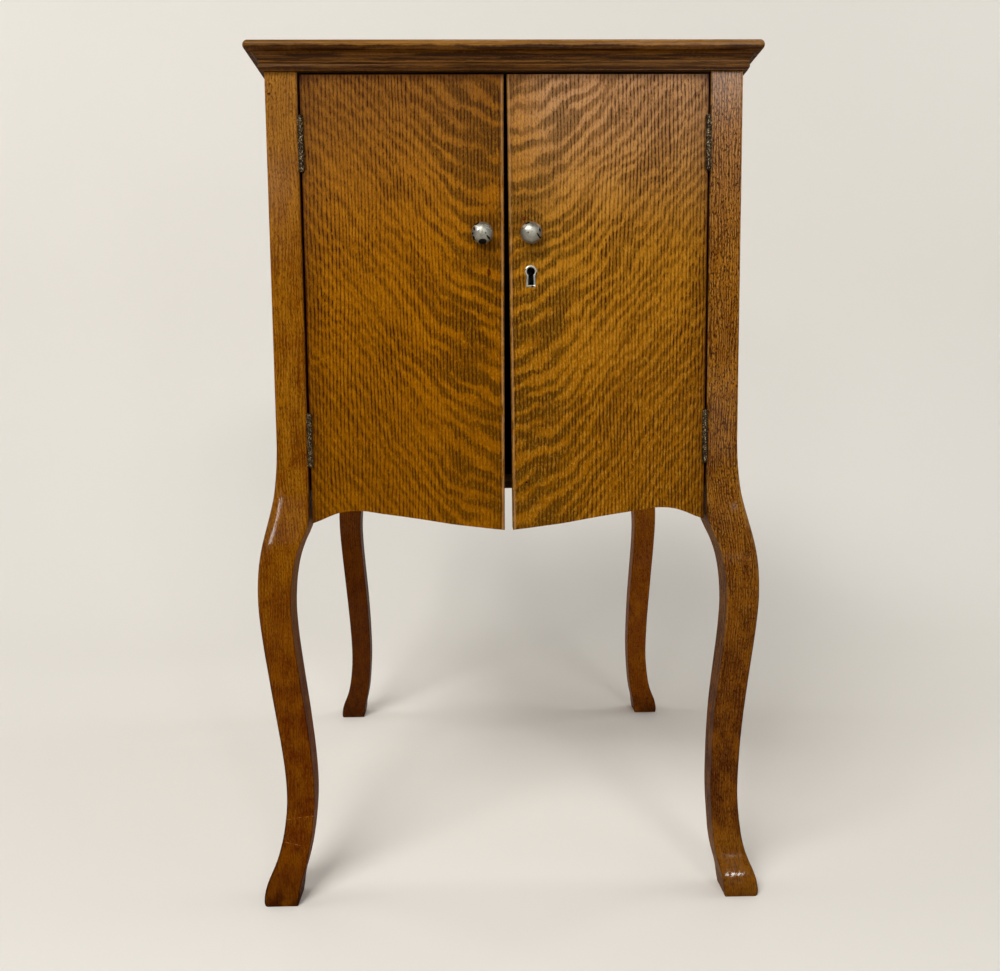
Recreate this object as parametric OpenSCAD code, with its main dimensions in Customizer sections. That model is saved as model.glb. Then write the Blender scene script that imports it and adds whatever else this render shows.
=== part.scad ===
// Gramophone and record cabinet on four cabriole legs, two inset doors.
// Units mm, +Z up, front faces -Y, origin on the floor at the middle of the footprint.

/* [Case] */
// width over the corner posts
case_w = 385; // [376:1:400]
// depth over the corner posts
case_d = 455; // [430:1:480]
// height from the floor to the top of the board
total_h = 711; // [700:1:730]
// corner posts, square
post_w = 26; // [25:0.5:28]
// how far the underside of the case floor lies below the top of the legs
floor_drop = 38; // [33:1:42]

/* [Legs] */
// height where a post starts to swell into its leg
leg_h = 390; // [386:1:396]
// how far the knee stands out from the post
knee_out = 16.5; // [13:0.5:18]
// how far the toe stands out from the post
toe_out = 19.4; // [17:0.2:20]
// rounding of the leg's outer corner
leg_outer_r = 3; // [2:0.25:4]
// rounding of the leg's other corners
leg_inner_r = 1.2; // [0.8:0.1:1.6]

/* [Top] */
// thickness of the top board, half of it is the nosing radius
top_t = 8; // [7:0.5:10]
// overhang of the top board at the front and sides
top_over = 14; // [13:0.5:17]
// height of the moulding under the top board
mould_h = 13; // [12:0.5:15]

/* [Panels and boards] */
// thickness of the side panels
side_t = 10; // [8:0.5:12]
// how far the side panels sit inside the post faces
side_inset = 3; // [2:0.5:4]
// depth of a panel's groove in a post
groove_d = 6; // [4:0.5:8]
// thickness of the back panel
back_t = 6; // [5:0.5:7]
// how far the back panel sits inside the post faces
back_inset = 2; // [1:0.5:3]
// thickness of the case floor
floor_t = 12; // [10:0.5:14]
// width of the cleats under the floor
cleat_w = 12; // [10:0.5:14]
// depth of the front and back top rails
rail_d = 50; // [44:1:56]
// thickness of the record dividers
divider_t = 4; // [3:0.5:5]
// depth of the divider grooves
divider_groove = 3; // [2:0.5:4]
// depth of the hollow in a divider's front edge
scoop_d = 30; // [20:1:36]
// height of that hollow
scoop_h = 219; // [180:1:240]
// width of the rails along the sides
side_rail_w = 28; // [22:1:34]

/* [Doors] */
// thickness of the doors
door_t = 18; // [16:0.5:19]
// gap between a door and its post
door_side_gap = 2; // [1.8:0.1:2.2]
// gap between the doors at the top
meet_top = 2.6; // [2:0.1:3]
// gap between the doors at the bottom
meet_low = 7; // [6:0.2:7.6]
// gap over the doors
door_head_gap = 2; // [1.5:0.1:3]
// how far the tips of the doors hang below the top of the legs
door_hang = 71.5; // [66:0.5:76]
// height of the shaped lower edge
ogee_h = 17.7; // [12:0.5:20]

/* [Hinges] */
// length of a hinge
hinge_len = 43; // [38:1:48]
// knuckle radius
knuckle_r = 2.2; // [2.1:0.05:2.3]
// hinge pin radius
pin_r = 1.2; // [1:0.05:1.3]
// leaf thickness
leaf_t = 1; // [0.8:0.05:1.1]
// leaf width
leaf_w = 15; // [13:0.5:15.5]
// middle of the upper hinges, below the top of the doors
hinge_down = 54; // [46:1:62]
// middle of the lower hinges, above the tips of the doors
hinge_up = 77.5; // [72:0.5:84]
// running clearance of the pin in the door knuckles
pin_fit = 0.05; // [0.02:0.01:0.09]

/* [Knobs and lock] */
// knob radius
knob_r = 8.85; // [8:0.1:9.5]
// how far a knob stands out
knob_len = 16; // [13:0.5:16.5]
// middle of the knobs, below the top of the doors
knob_down = 126; // [120:1:132]
// distance of the knobs and keyhole from the middle
knob_x = 19.8; // [18.5:0.1:21]
// round part of the keyhole, below the knobs
key_down = 29.6; // [27:0.2:32]
// radius of the round part of the keyhole
key_r = 3.6; // [3.2:0.1:3.8]
// travel of the lock bolt
lock_throw = 9; // [8:0.5:9.5]
// travel of the door bolt
bolt_throw = 8; // [6:0.5:9]

/* [Hidden] */
$fn = 48;

slack = 0.1;          // between boards that slot together
over = 1;             // how far a cutter runs past the face it cuts
half_w = case_w / 2;
half_d = case_d / 2;
case_top = total_h - top_t;
mould_z = case_top - mould_h;
door_top = mould_z - door_head_gap;
door_low = leg_h - door_hang;
floor_z = leg_h - floor_drop;
stop_h = 10;
stop_d = 12;
stop_gap = 0.5;       // between a closed door and what it stops on
panel_rise = 12;      // shaped edge of the sides, above the tips of the doors
back_drop = 7;        // how far the back hangs below the case floor
post_in = half_w - post_w;
panel_out = half_w - side_inset;
panel_in = panel_out - side_t;
panel_low = door_low + panel_rise;
back_y = half_d - back_inset - back_t;
back_low = floor_z - back_drop;
floor_top = floor_z + floor_t;
door_front = -half_d;
door_back = door_front + door_t;
door_edge = post_in - door_side_gap;
divider_n = 4;
divider_set = 18;     // behind the closed doors
divider_clear = 22;   // in front of the back
divider_y0 = door_back + divider_set;
divider_y1 = back_y - divider_clear;
divider_top = mould_z + divider_groove;
divider_pitch = 2 * panel_in / (divider_n + 1);
function divider_x(k) = (k - (divider_n + 1) / 2) * divider_pitch - divider_t / 2;

knob_z = door_top - knob_down;
key_z = knob_z - key_down;
meet_slope = (meet_low - meet_top) / (door_top - door_low);
function meet_half(z) = (meet_top + meet_slope * (door_top - z)) / 2;

// hinges
hinge_high = door_top - hinge_down;
hinge_low_z = door_low + hinge_up;
gain = 0.4;           // how deep a leaf is let in
pin_in = 0.1;         // pin's middle inside the door's edge
pin_proud = 1.8;      // and in front of the door's face
hinge_x = door_edge - pin_in;
hinge_y = door_front - pin_proud;
knuckle_gap = 0.3;
knuckle_n = 5;
knuckle_len = (hinge_len - (knuckle_n - 1) * knuckle_gap) / knuckle_n;
knuckle_clear = 0.3;
screw_r = 1.1;
hinge_screw_len = 11;
hinge_screw_z = [-0.34, 0, 0.34];
hinge_screw_y = [10.5, 6, 10.5];

// lock
flush = 0.2;          // how far the edge metal sits inside a door's edge
lock_w = 36;
lock_h = 46;
lock_d = 9;
lock_wall = 1.2;
lock_plate = 1.5;
lock_lip = 4;
lock_drop = 24;       // bottom of the lock below the keyhole's round part
lock_z0 = key_z - lock_drop;
lock_x0 = meet_half(lock_z0) + flush;
bolt_h = 11;
bolt_len = 22;
bolt_rise = 5.2;      // above the keyhole's round part
bolt_in = 5.8;        // inside the lock plate
bolt_d = 5.2;
bolt_z = key_z + bolt_rise;
bolt_y = door_back - lock_plate - bolt_in;
strike_h = 34;
strike_d = 8;
strike_t = 1.2;
strike_screw_end = 5; // strike screws from the ends of the plate
strike_x = -meet_half(bolt_z) - flush;
bolt_room = 0.4;      // round a shot bolt
key_slot_w = 5;
key_slot_h = 11;
key_low = key_z - key_slot_h;
rim_t = 1.55;
rim_fit = 0.05;
rim_proud = 0.4;

// door bolt
rod_r = 2.5;
rod_x = -26;
rod_off = 4.4;        // middle of the rod behind the door
rod_gap = 1;          // below the stop when drawn
rod_tail = 4;         // below its guide
rod_y = door_back + rod_off;
rod_top = mould_z - stop_h - rod_gap;
guide_w = 13;
loop_h = 6;
loop_w = 8;
loop_end = 2;         // from the ends of the guide plate
loop_gap = 26;        // between the loops, over the throw
guide_t = 1.4;
guide_down = 7;       // top of the guide below the top of the rod
guide_screw_side = 2.2;
guide_screw_end = 14;
guide_h = 2 * loop_h + loop_gap + bolt_throw;
guide_z0 = rod_top - guide_down - guide_h;
rod_z0 = guide_z0 - rod_tail;

oak = [0.66, 0.38, 0.12];
dark_oak = [0.42, 0.23, 0.09];
pale_wood = [0.72, 0.58, 0.38];
nickel = [0.72, 0.71, 0.68];
tarnish = [0.42, 0.38, 0.30];
steel = [0.5, 0.5, 0.5];
brass = [0.74, 0.62, 0.34];

// station up the leg, knee share, toe share, thickness over the post's
leg_curve = [
  [0, 0, 0.972, 1.09], [0.008, 0, 0.998, 1.127], [0.02, 0, 0.984, 1.146],
  [0.036, 0, 0.926, 1.128], [0.052, 0, 0.822, 1.097], [0.07, 0, 0.666, 1.052],
  [0.09, 0, 0.513, 1.004], [0.113, 0, 0.391, 0.972], [0.139, 0, 0.295, 0.944],
  [0.17, 0, 0.215, 0.927], [0.205, 0, 0.158, 0.92], [0.243, 0.05, 0.105, 0.926],
  [0.287, 0.085, 0.107, 0.938], [0.333, 0.163, 0.1, 0.955], [0.379, 0.273, 0.085, 0.973],
  [0.425, 0.4, 0.066, 0.99], [0.472, 0.539, 0.045, 0.998], [0.518, 0.673, 0.025, 1.003],
  [0.564, 0.806, 0.01, 1.012], [0.61, 0.915, 0, 1.023], [0.651, 0.982, 0, 1.042],
  [0.687, 1, 0, 1.069], [0.723, 0.976, 0, 1.1], [0.759, 0.903, 0, 1.146],
  [0.79, 0.788, 0, 1.215], [0.815, 0.661, 0, 1.292], [0.841, 0.515, 0, 1.327],
  [0.867, 0.37, 0, 1.235], [0.892, 0.242, 0, 1.154], [0.918, 0.152, 0, 1.096],
  [0.944, 0.085, 0, 1.054], [0.969, 0.036, 0, 1.023], [1, 0, 0, 1]];

// share of the way from the hinge side to the middle, share of the height
ogee = [[0, 0.43], [0.043, 0.57], [0.086, 0.74], [0.13, 0.886], [0.173, 0.97],
  [0.222, 1], [0.272, 0.98], [0.32, 0.915], [0.37, 0.835], [0.457, 0.72],
  [0.555, 0.58], [0.648, 0.435], [0.74, 0.29], [0.833, 0.185], [0.926, 0.075], [1, 0]];

// small helpers
function spline(p, i, t) =
  let (a = p[max(i - 1, 0)], b = p[i], c = p[i + 1], d = p[min(i + 2, len(p) - 1)])
  0.5 * (2 * b + (c - a) * t + (2 * a - 5 * b + 4 * c - d) * t * t
    + (3 * b - a - 3 * c + d) * t * t * t);
function smooth(p, n) = concat(
  [for (i = [0 : len(p) - 2]) for (k = [0 : n - 1]) spline(p, i, k / n)], [p[len(p) - 1]]);

// a corner of the case in its own frame: x and y run inwards from the post's outer corner
module at_corner(right, rear) {
  mirror([right ? 1 : 0, 0, 0]) mirror([0, rear ? 1 : 0, 0])
    translate([-half_w, -half_d, 0]) children();
}

module on_side(right) {
  mirror([right ? 1 : 0, 0, 0]) children();
}

// legs
function leg_ring(s) =
  let (z = s[0] * leg_h, out = knee_out * s[1] + toe_out * s[2], w = post_w * s[3],
    soft = min(1, (1 - s[0]) * 6 + 0.12),
    ro = leg_outer_r * soft, ri = leg_inner_r * soft, lo = -out, hi = w - out)
  concat(
    [for (k = [0 : 4]) [lo + ro + ro * cos(180 + 22.5 * k), lo + ro + ro * sin(180 + 22.5 * k), z]],
    [for (k = [0 : 4]) [hi - ri + ri * cos(270 + 22.5 * k), lo + ri + ri * sin(270 + 22.5 * k), z]],
    [for (k = [0 : 4]) [hi - ri + ri * cos(22.5 * k), hi - ri + ri * sin(22.5 * k), z]],
    [for (k = [0 : 4]) [lo + ri + ri * cos(90 + 22.5 * k), hi - ri + ri * sin(90 + 22.5 * k), z]]);

module cabriole() {
  n = 20;
  m = len(leg_curve);
  points = [for (s = leg_curve) each leg_ring(s)];
  faces = concat(
    [[for (j = [0 : n - 1]) j]],
    [for (i = [0 : m - 2]) for (j = [0 : n - 1])
      each [[i * n + j, (i + 1) * n + (j + 1) % n, i * n + (j + 1) % n],
        [i * n + j, (i + 1) * n + j, (i + 1) * n + (j + 1) % n]]],
    [[for (j = [n - 1 : -1 : 0]) (m - 1) * n + j]]);
  polyhedron(points, faces);
}

module leg_stick() {
  difference() {
    union() {
      cabriole();
      translate([0, 0, leg_h]) cube([post_w, post_w, case_top - leg_h]);
    }
    // groove for the side panel
    translate([side_inset - slack, post_w - groove_d - slack, panel_low + ogee_h * ogee[0][1] - over])
      cube([side_t + 2 * slack, groove_d + 2 * over, case_top]);
  }
}

module hinge_gains() {
  for (z = [hinge_high, hinge_low_z]) {
    translate([post_w - gain, -2 * over, z - hinge_len / 2 - slack])
      cube([over, leaf_w + 2 * over + slack, hinge_len + 2 * slack]);
    for (k = [0 : 2])
      translate([post_w + over, hinge_screw_y[k], z + hinge_screw_z[k] * hinge_len])
        rotate([0, -90, 0]) cylinder(r = screw_r, h = hinge_screw_len + over);
  }
}

module leg_front(right) {
  color(oak) at_corner(right, false) difference() {
    leg_stick();
    hinge_gains();
  }
}

module leg_rear(right) {
  color(oak) at_corner(right, true) difference() {
    leg_stick();
    // rebate for the back panel
    translate([post_w - groove_d - slack, -toe_out, back_low - slack])
      cube([groove_d + 2 * over, toe_out + back_inset + back_t + slack, case_top]);
    for (z = nail_heights())
      translate([post_w - groove_d / 2, back_inset + back_t - over, z])
        rotate([-90, 0, 0]) cylinder(r = nail_r, h = nail_len - back_t + over);
  }
}

module leg_front_left() { leg_front(false); }
module leg_front_right() { leg_front(true); }
module leg_rear_left() { leg_rear(false); }
module leg_rear_right() { leg_rear(true); }

// top
nose_r = top_t / 2;
top_x = half_w + top_over - nose_r;
top_y = half_d + top_over - nose_r;

module top_board() {
  color(oak) difference() {
    union() {
      translate([-top_x, -top_y, case_top]) cube([2 * top_x, top_y + half_d, top_t]);
      translate([-top_x, -top_y, case_top + nose_r]) {
        rotate([0, 90, 0]) cylinder(r = nose_r, h = 2 * top_x);
        rotate([-90, 0, 0]) cylinder(r = nose_r, h = top_y + half_d);
        sphere(r = nose_r);
      }
      translate([top_x, -top_y, case_top + nose_r]) {
        rotate([-90, 0, 0]) cylinder(r = nose_r, h = top_y + half_d);
        sphere(r = nose_r);
      }
    }
    top_screw_holes();
  }
}

bead_r = 3.2;
bead_out = 1;         // middle of the bead from the case
mould_root = 3;       // what the cove leaves at the case
mould_lip = 2;        // how much less than its height the moulding stands out
cove_r = 8.5;
cove_out = 12;        // middle of the cove from the case
cove_down = 8;        // and below the top board
module mould_profile() {
  union() {
    square([mould_root, mould_h]);
    translate([bead_out, bead_r]) circle(r = bead_r);
    difference() {
      translate([0, 2 * bead_r]) square([mould_h - mould_lip, mould_h - 2 * bead_r]);
      translate([cove_out, mould_h - cove_down]) circle(r = cove_r);
    }
  }
}

module front_strip() {
  intersection() {
    translate([-half_w - mould_h, -half_d, mould_z])
      rotate([90, 0, 90]) mirror([1, 0, 0])
        linear_extrude(2 * (half_w + mould_h)) mould_profile();
    linear_extrude(total_h) polygon([[-half_w, -half_d], [half_w, -half_d],
      [half_w + mould_h, -half_d - mould_h], [-half_w - mould_h, -half_d - mould_h]]);
  }
}

module side_strip() {
  intersection() {
    translate([-half_w, half_d, mould_z])
      rotate([90, 0, 0]) mirror([1, 0, 0]) linear_extrude(case_d + mould_h) mould_profile();
    linear_extrude(total_h) polygon([[-half_w, -half_d], [-half_w, half_d],
      [-half_w - mould_h, half_d], [-half_w - mould_h, -half_d - mould_h]]);
  }
}

module moulding_front() { color(dark_oak) front_strip(); }
module moulding_left() { color(dark_oak) side_strip(); }
module moulding_right() { color(dark_oak) on_side(true) side_strip(); }

// panels, floor and rails
function skirt(length) = let (half = smooth(ogee, 3))
  concat([for (p = half) [p[0] * length / 2, p[1] * ogee_h]],
    [for (i = [len(half) - 2 : -1 : 0]) [length - half[i][0] * length / 2, half[i][1] * ogee_h]]);

module side_panel(right) {
  y0 = -half_d + post_w - groove_d;
  length = case_d - 2 * (post_w - groove_d);
  color(oak) on_side(right) difference() {
    translate([-panel_out, y0, panel_low])
      rotate([90, 0, 90]) linear_extrude(side_t)
        polygon(concat(skirt(length), [[length, case_top - panel_low], [0, case_top - panel_low]]));
    cleat_side_holes();
  }
}
module side_panel_left() { side_panel(false); }
module side_panel_right() { side_panel(true); }

nail_r = 0.75;
nail_len = 18;
nail_margin = 20;
nail_n = 4;           // a side
nail_head_r = 1.8;
nail_head_t = 0.7;
nail_fit = 0.02;
nail_pitch = (case_top - back_low - 2 * nail_margin) / (nail_n - 1);
function nail_heights() = [for (k = [0 : nail_n - 1]) back_low + nail_margin + k * nail_pitch];

module back_panel() {
  x = post_in + groove_d;
  color(pale_wood) difference() {
    translate([-x, back_y, back_low]) cube([2 * x, back_t, case_top - back_low]);
    for (s = [-1, 1]) for (z = nail_heights())
      translate([s * (x - groove_d / 2), back_y - over, z])
        rotate([-90, 0, 0]) cylinder(r = nail_r, h = back_t + 2 * over);
    for (x1 = cleat_spots)
      translate([x1, back_y - over, cleat_z]) rotate([-90, 0, 0])
        cylinder(r = cleat_screw_r, h = over + cleat_back_bite);
  }
}

module back_nails() {
  color(steel) for (s = [-1, 1]) for (z = nail_heights())
    translate([s * (post_in + groove_d / 2), back_y + back_t, z]) {
      rotate([90, 0, 0]) cylinder(r = nail_r - nail_fit, h = nail_len);
      rotate([-90, 0, 0]) cylinder(r = nail_head_r, h = nail_head_t);
    }
}

module divider_grooves(y0, y1, z) {
  for (k = [1 : divider_n])
    translate([divider_x(k) - slack, y0, z])
      cube([divider_t + 2 * slack, y1 - y0, divider_groove + over]);
}

module floor_board() {
  y0 = door_back + stop_gap;
  y1 = back_y;
  color(pale_wood) difference() {
    translate([-panel_in, y0, floor_z]) cube([2 * panel_in, y1 - y0, floor_t]);
    // notches round the posts
    for (right = [false, true]) for (rear = [false, true]) at_corner(right, rear)
      translate([-over, -over, floor_z - over])
        cube([post_w + slack + over, post_w + slack + over, floor_t + 2 * over]);
    divider_grooves(divider_y0 - slack, divider_y1 + slack, floor_top - divider_groove);
  }
}

screw_x = 120;
screw_y = 16;
screw_back_in = 2;    // in front of the middle of the back rail
screw_back_y = half_d - rail_d / 2 - screw_back_in;
side_screw_x = panel_in - side_rail_w / 2;
screw_spots = [[-screw_x, -half_d + screw_y], [screw_x, -half_d + screw_y],
  [-screw_x, screw_back_y], [screw_x, screw_back_y], [-side_screw_x, 0], [side_screw_x, 0]];
top_screw_r = 2;
top_screw_bite = 4.5;
top_head_r = 4;
top_head_t = 2.2;
fit = 0.03;           // of a screw in its hole
head_fit = 0.05;
module top_screw_holes() {
  for (p = screw_spots) translate([p[0], p[1], mould_z]) {
    translate([0, 0, -over]) cylinder(r = top_screw_r, h = mould_h + top_screw_bite + over);
    translate([0, 0, -0.01]) cylinder(r1 = top_head_r, r2 = top_screw_r, h = top_head_t);
    translate([0, 0, -over]) cylinder(r = top_head_r, h = over);
  }
}
module top_screws() {
  color(steel) for (p = screw_spots) translate([p[0], p[1], mould_z]) {
    cylinder(r = top_screw_r - fit, h = mould_h + top_screw_bite - 2 * slack);
    cylinder(r1 = top_head_r - head_fit, r2 = top_screw_r - fit, h = top_head_t - head_fit);
  }
}

module top_rail_front() {
  color(oak) difference() {
    translate([-post_in, -half_d, mould_z]) cube([2 * post_in, rail_d, mould_h]);
    divider_grooves(divider_y0 - slack, -half_d + rail_d + over, mould_z - over);
    top_screw_holes();
  }
}
module top_rail_back() {
  color(pale_wood) difference() {
    translate([-post_in, half_d - rail_d, mould_z])
      cube([2 * post_in, rail_d - back_inset - back_t, mould_h]);
    divider_grooves(half_d - rail_d - over, divider_y1 + slack, mould_z - over);
    top_screw_holes();
  }
}
module top_rail_side(right) {
  color(pale_wood) on_side(right) difference() {
    translate([-panel_in, -half_d + rail_d, mould_z])
      cube([side_rail_w, case_d - 2 * rail_d, mould_h]);
    top_screw_holes();
  }
}
module top_rail_left() { top_rail_side(false); }
module top_rail_right() { top_rail_side(true); }

module door_stop() {
  color(oak) difference() {
    translate([-post_in, door_back + stop_gap, mould_z - stop_h])
      cube([2 * post_in, stop_d, stop_h]);
    translate([rod_x, rod_y, mould_z - stop_h - over])
      cylinder(r = rod_r + bolt_room, h = bolt_throw + 2 * over);
  }
}

cleat_h = 12;
cleat_z = floor_z - cleat_h / 2;
cleat_screw_r = 1.6;
cleat_head_r = 3.2;
cleat_head_t = 1.4;
cleat_side_bite = 6;  // of a screw's hole in a side panel
cleat_back_bite = 4.5;
cleat_spots = [-110, 0, 110];
cleat_gap = 1;        // between a cleat's end and its post
cleat_back_gap = 2;
cleat_y0 = -half_d + post_w + cleat_gap;
module cleat_side_holes() {
  for (y = cleat_spots) translate([-panel_in + cleat_w + over, y, cleat_z]) rotate([0, -90, 0])
    cylinder(r = cleat_screw_r, h = cleat_w + over + cleat_side_bite);
}
module floor_cleat_side(right) {
  color(pale_wood) on_side(right) difference() {
    translate([-panel_in, cleat_y0, floor_z - cleat_h])
      cube([cleat_w, -2 * cleat_y0, cleat_h]);
    cleat_side_holes();
  }
}
module floor_cleat_left() { floor_cleat_side(false); }
module floor_cleat_right() { floor_cleat_side(true); }
module floor_cleat_back() {
  x = post_in - cleat_back_gap;
  color(pale_wood) difference() {
    translate([-x, back_y - cleat_w, floor_z - cleat_h]) cube([2 * x, cleat_w, cleat_h]);
    for (x1 = cleat_spots)
      translate([x1, back_y - cleat_w - over, cleat_z]) rotate([-90, 0, 0])
        cylinder(r = cleat_screw_r, h = cleat_w + 2 * over);
  }
}
module wood_screw(length) {
  cylinder(r = cleat_screw_r - fit, h = length);
  translate([0, 0, -cleat_head_t]) cylinder(r = cleat_head_r, h = cleat_head_t);
}
module cleat_screws() {
  color(steel) {
    for (right = [false, true]) on_side(right) for (y = cleat_spots)
      translate([-panel_in + cleat_w, y, cleat_z]) rotate([0, -90, 0])
        wood_screw(cleat_w + cleat_side_bite - 2 * slack);
    for (x1 = cleat_spots)
      translate([x1, back_y - cleat_w, cleat_z]) rotate([-90, 0, 0])
        wood_screw(cleat_w + cleat_back_bite - 2 * slack);
  }
}

// record dividers
module divider(k) {
  length = divider_y1 - divider_y0;
  height = divider_top - floor_top + divider_groove - slack;
  scoop_r = (scoop_h * scoop_h / 4 + scoop_d * scoop_d) / (2 * scoop_d);
  color(pale_wood) translate([divider_x(k), divider_y0, floor_top - divider_groove])
    rotate([90, 0, 90]) linear_extrude(divider_t) difference() {
      square([length, height]);
      translate([scoop_d - scoop_r, height / 2]) circle(r = scoop_r, $fn = 96);
    }
}
module divider_1() { divider(1); }
module divider_2() { divider(2); }
module divider_3() { divider(3); }
module divider_4() { divider(4); }

// doors
module door_board() {
  width = door_edge - meet_low / 2;
  low = [for (p = smooth(ogee, 4)) [-door_edge + p[0] * width, door_low + p[1] * ogee_h]];
  translate([0, door_back, 0]) rotate([90, 0, 0]) linear_extrude(door_t)
    polygon(concat(low, [[-meet_top / 2, door_top], [-door_edge, door_top]]));
}

module door_hinge_cuts() {
  for (z = [hinge_high, hinge_low_z]) {
    translate([-door_edge - over, door_front - over, z - hinge_len / 2 - slack])
      cube([over + gain, leaf_w + over + slack, hinge_len + 2 * slack]);
    translate([-hinge_x, hinge_y, z - hinge_len / 2 - over])
      cylinder(r = knuckle_r + knuckle_clear, h = hinge_len + 2 * over);
    for (k = [0 : 2])
      translate([-door_edge - over, door_front + hinge_screw_y[k], z + hinge_screw_z[k] * hinge_len])
        rotate([0, 90, 0]) cylinder(r = screw_r, h = hinge_screw_len + over);
  }
}

knob_screw_r = 2;
module knob_hole() {
  translate([-knob_x, door_front - over, knob_z]) rotate([-90, 0, 0])
    cylinder(r = knob_screw_r + slack, h = door_t + 2 * over);
}

strike_y = bolt_y + bolt_d / 2;
strike_z = bolt_z + bolt_h / 2;
strike_hole = 11;
guide_hole = 8;

// where the strike's two screws go, heads towards +X
module at_strike_screws() {
  for (s = [-1, 1])
    translate([strike_x, strike_y, strike_z + s * (strike_h / 2 - strike_screw_end)])
      rotate([0, -90, 0]) children();
}

// room for the shot bolt, from x on
module bolt_way(x, length) {
  translate([x, bolt_y - bolt_room, bolt_z - bolt_room])
    cube([length, bolt_d + 2 * bolt_room, bolt_h + 2 * bolt_room]);
}

module left_door() {
  color(oak) difference() {
    door_board();
    door_hinge_cuts();
    knob_hole();
    // recess and mortise for the strike
    translate([strike_x - strike_t - slack, strike_y - strike_d / 2 - slack, strike_z - strike_h / 2 - slack])
      cube([strike_t + slack - strike_x, strike_d + 2 * slack, strike_h + 2 * slack]);
    bolt_way(lock_x0 - lock_throw - over, lock_throw - lock_x0);
    at_strike_screws() cylinder(r = screw_r, h = strike_hole);
    for (p = guide_screw_spots()) translate([p[0], door_back - guide_hole, p[1]])
      rotate([-90, 0, 0]) cylinder(r = screw_r, h = guide_hole + over);
  }
}

module key_shape(grow) {
  union() {
    translate([0, key_z]) circle(r = key_r + grow);
    translate([-key_slot_w / 2 - 0.9 * grow, key_low - grow])
      square([key_slot_w + 1.8 * grow, key_slot_h + grow]);
  }
}

module right_door() {
  color(oak) difference() {
    mirror([1, 0, 0]) difference() {
      door_board();
      door_hinge_cuts();
      knob_hole();
    }
    translate([knob_x, door_back + over, 0]) rotate([90, 0, 0])
      linear_extrude(door_t + 2 * over) key_shape(rim_t);
    // pocket and plate recess for the lock, open at the door's edge
    translate([0, door_back - lock_d - slack, lock_z0 - slack])
      cube([lock_x0 + lock_w + slack, lock_d + over, lock_h + 2 * slack]);
    translate([0, door_back - lock_plate - slack, lock_z0 - lock_lip - slack])
      cube([lock_x0 + lock_w + lock_lip + slack, lock_plate + over, lock_h + 2 * lock_lip + 2 * slack]);
    for (p = lock_screw_spots()) translate([p[0], door_back - lock_screw_hole, p[1]])
      rotate([-90, 0, 0]) cylinder(r = screw_r, h = lock_screw_hole);
  }
}

// knobs
knob_dome = 7.5;      // height of the dome
knob_bore = 10;
module knob_body() {
  dome = [for (a = [0 : 6 : 90]) [knob_r * cos(a), knob_len - knob_dome * (1 - sin(a))]];
  // foot, waist, flare
  stem = [[0, 0], [5, 0], [5, 0.8], [3.6, 1.8], [3.3, 4.5], [5, 6],
    [knob_r - 1.2, knob_len - 9], [knob_r - 0.2, knob_len - 8.2]];
  difference() {
    rotate_extrude() polygon(concat(stem, dome, [[0, knob_len]]));
    translate([0, 0, -over]) cylinder(r = knob_screw_r, h = knob_bore + over);
  }
}
module knob(right) {
  color(nickel) on_side(right) translate([-knob_x, door_front, knob_z])
    rotate([90, 0, 0]) knob_body();
}
module left_knob() { knob(false); }
module right_knob() { knob(true); }

knob_head_r = 4;
knob_head_t = 2.4;
slot_w = 1;
slot_d = 0.9;
module knob_screw(right) {
  color(steel) on_side(right) translate([-knob_x, door_back, knob_z]) rotate([90, 0, 0]) {
    cylinder(r = knob_screw_r - fit, h = door_t + knob_bore - 0.5);
    translate([0, 0, -knob_head_t]) difference() {
      cylinder(r1 = 0.65 * knob_head_r, r2 = knob_head_r, h = knob_head_t);
      translate([-knob_head_r - over, -slot_w / 2, -over])
        cube([2 * (knob_head_r + over), slot_w, slot_d + over]);
    }
  }
}
module left_knob_screw() { knob_screw(false); }
module right_knob_screw() { knob_screw(true); }

// lock
module keyhole_escutcheon() {
  depth = door_t - lock_d - 3 * slack;
  color(nickel) translate([knob_x, door_front + depth, 0]) rotate([90, 0, 0])
    linear_extrude(depth + rim_proud) difference() {
      key_shape(rim_t - rim_fit);
      key_shape(0);
    }
}

lock_screw_in = [6, 4];   // from the two ends of the case
lock_screw_hole = 10;
key_pin_r = 1.4;
key_pin_len = 4.5;
bolt_fit = 0.1;
sink_r = 2;           // countersink
function lock_screw_spots() =
  [for (x = [lock_x0 + lock_screw_in[0], lock_x0 + lock_w - lock_screw_in[1]]) for (s = [-1, 1])
    [x, lock_z0 + lock_h / 2 + s * (lock_h / 2 + lock_lip / 2)]];

module lock_case() {
  inner_z = lock_z0 + lock_wall;
  color(brass) difference() {
    union() {
      translate([lock_x0, door_back - lock_d, lock_z0]) cube([lock_w, lock_d, lock_h]);
      translate([lock_x0, door_back - lock_plate, lock_z0 - lock_lip])
        cube([lock_w + lock_lip, lock_plate, lock_h + 2 * lock_lip]);
    }
    difference() {
      translate([lock_x0 + lock_wall, door_back - lock_d + lock_wall, inner_z])
        cube([lock_w - 2 * lock_wall, lock_d - lock_wall - lock_plate, lock_h - 2 * lock_wall]);
      // key pin, on the back plate
      translate([knob_x, door_back - lock_plate + 0.01, key_z]) rotate([90, 0, 0])
        cylinder(r = key_pin_r, h = key_pin_len);
    }
    translate([knob_x, door_back - lock_d + lock_wall + 0.01, 0]) rotate([90, 0, 0])
      linear_extrude(lock_wall + over) key_shape(0);
    translate([lock_x0 - over, bolt_y - bolt_fit, bolt_z - bolt_fit])
      cube([lock_wall + 2 * over, bolt_d + 2 * bolt_fit, bolt_h + 2 * bolt_fit]);
    for (p = lock_screw_spots()) translate([p[0], door_back, p[1]]) rotate([90, 0, 0])
      sunk_hole(1.1, lock_plate + over);
  }
}

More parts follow.
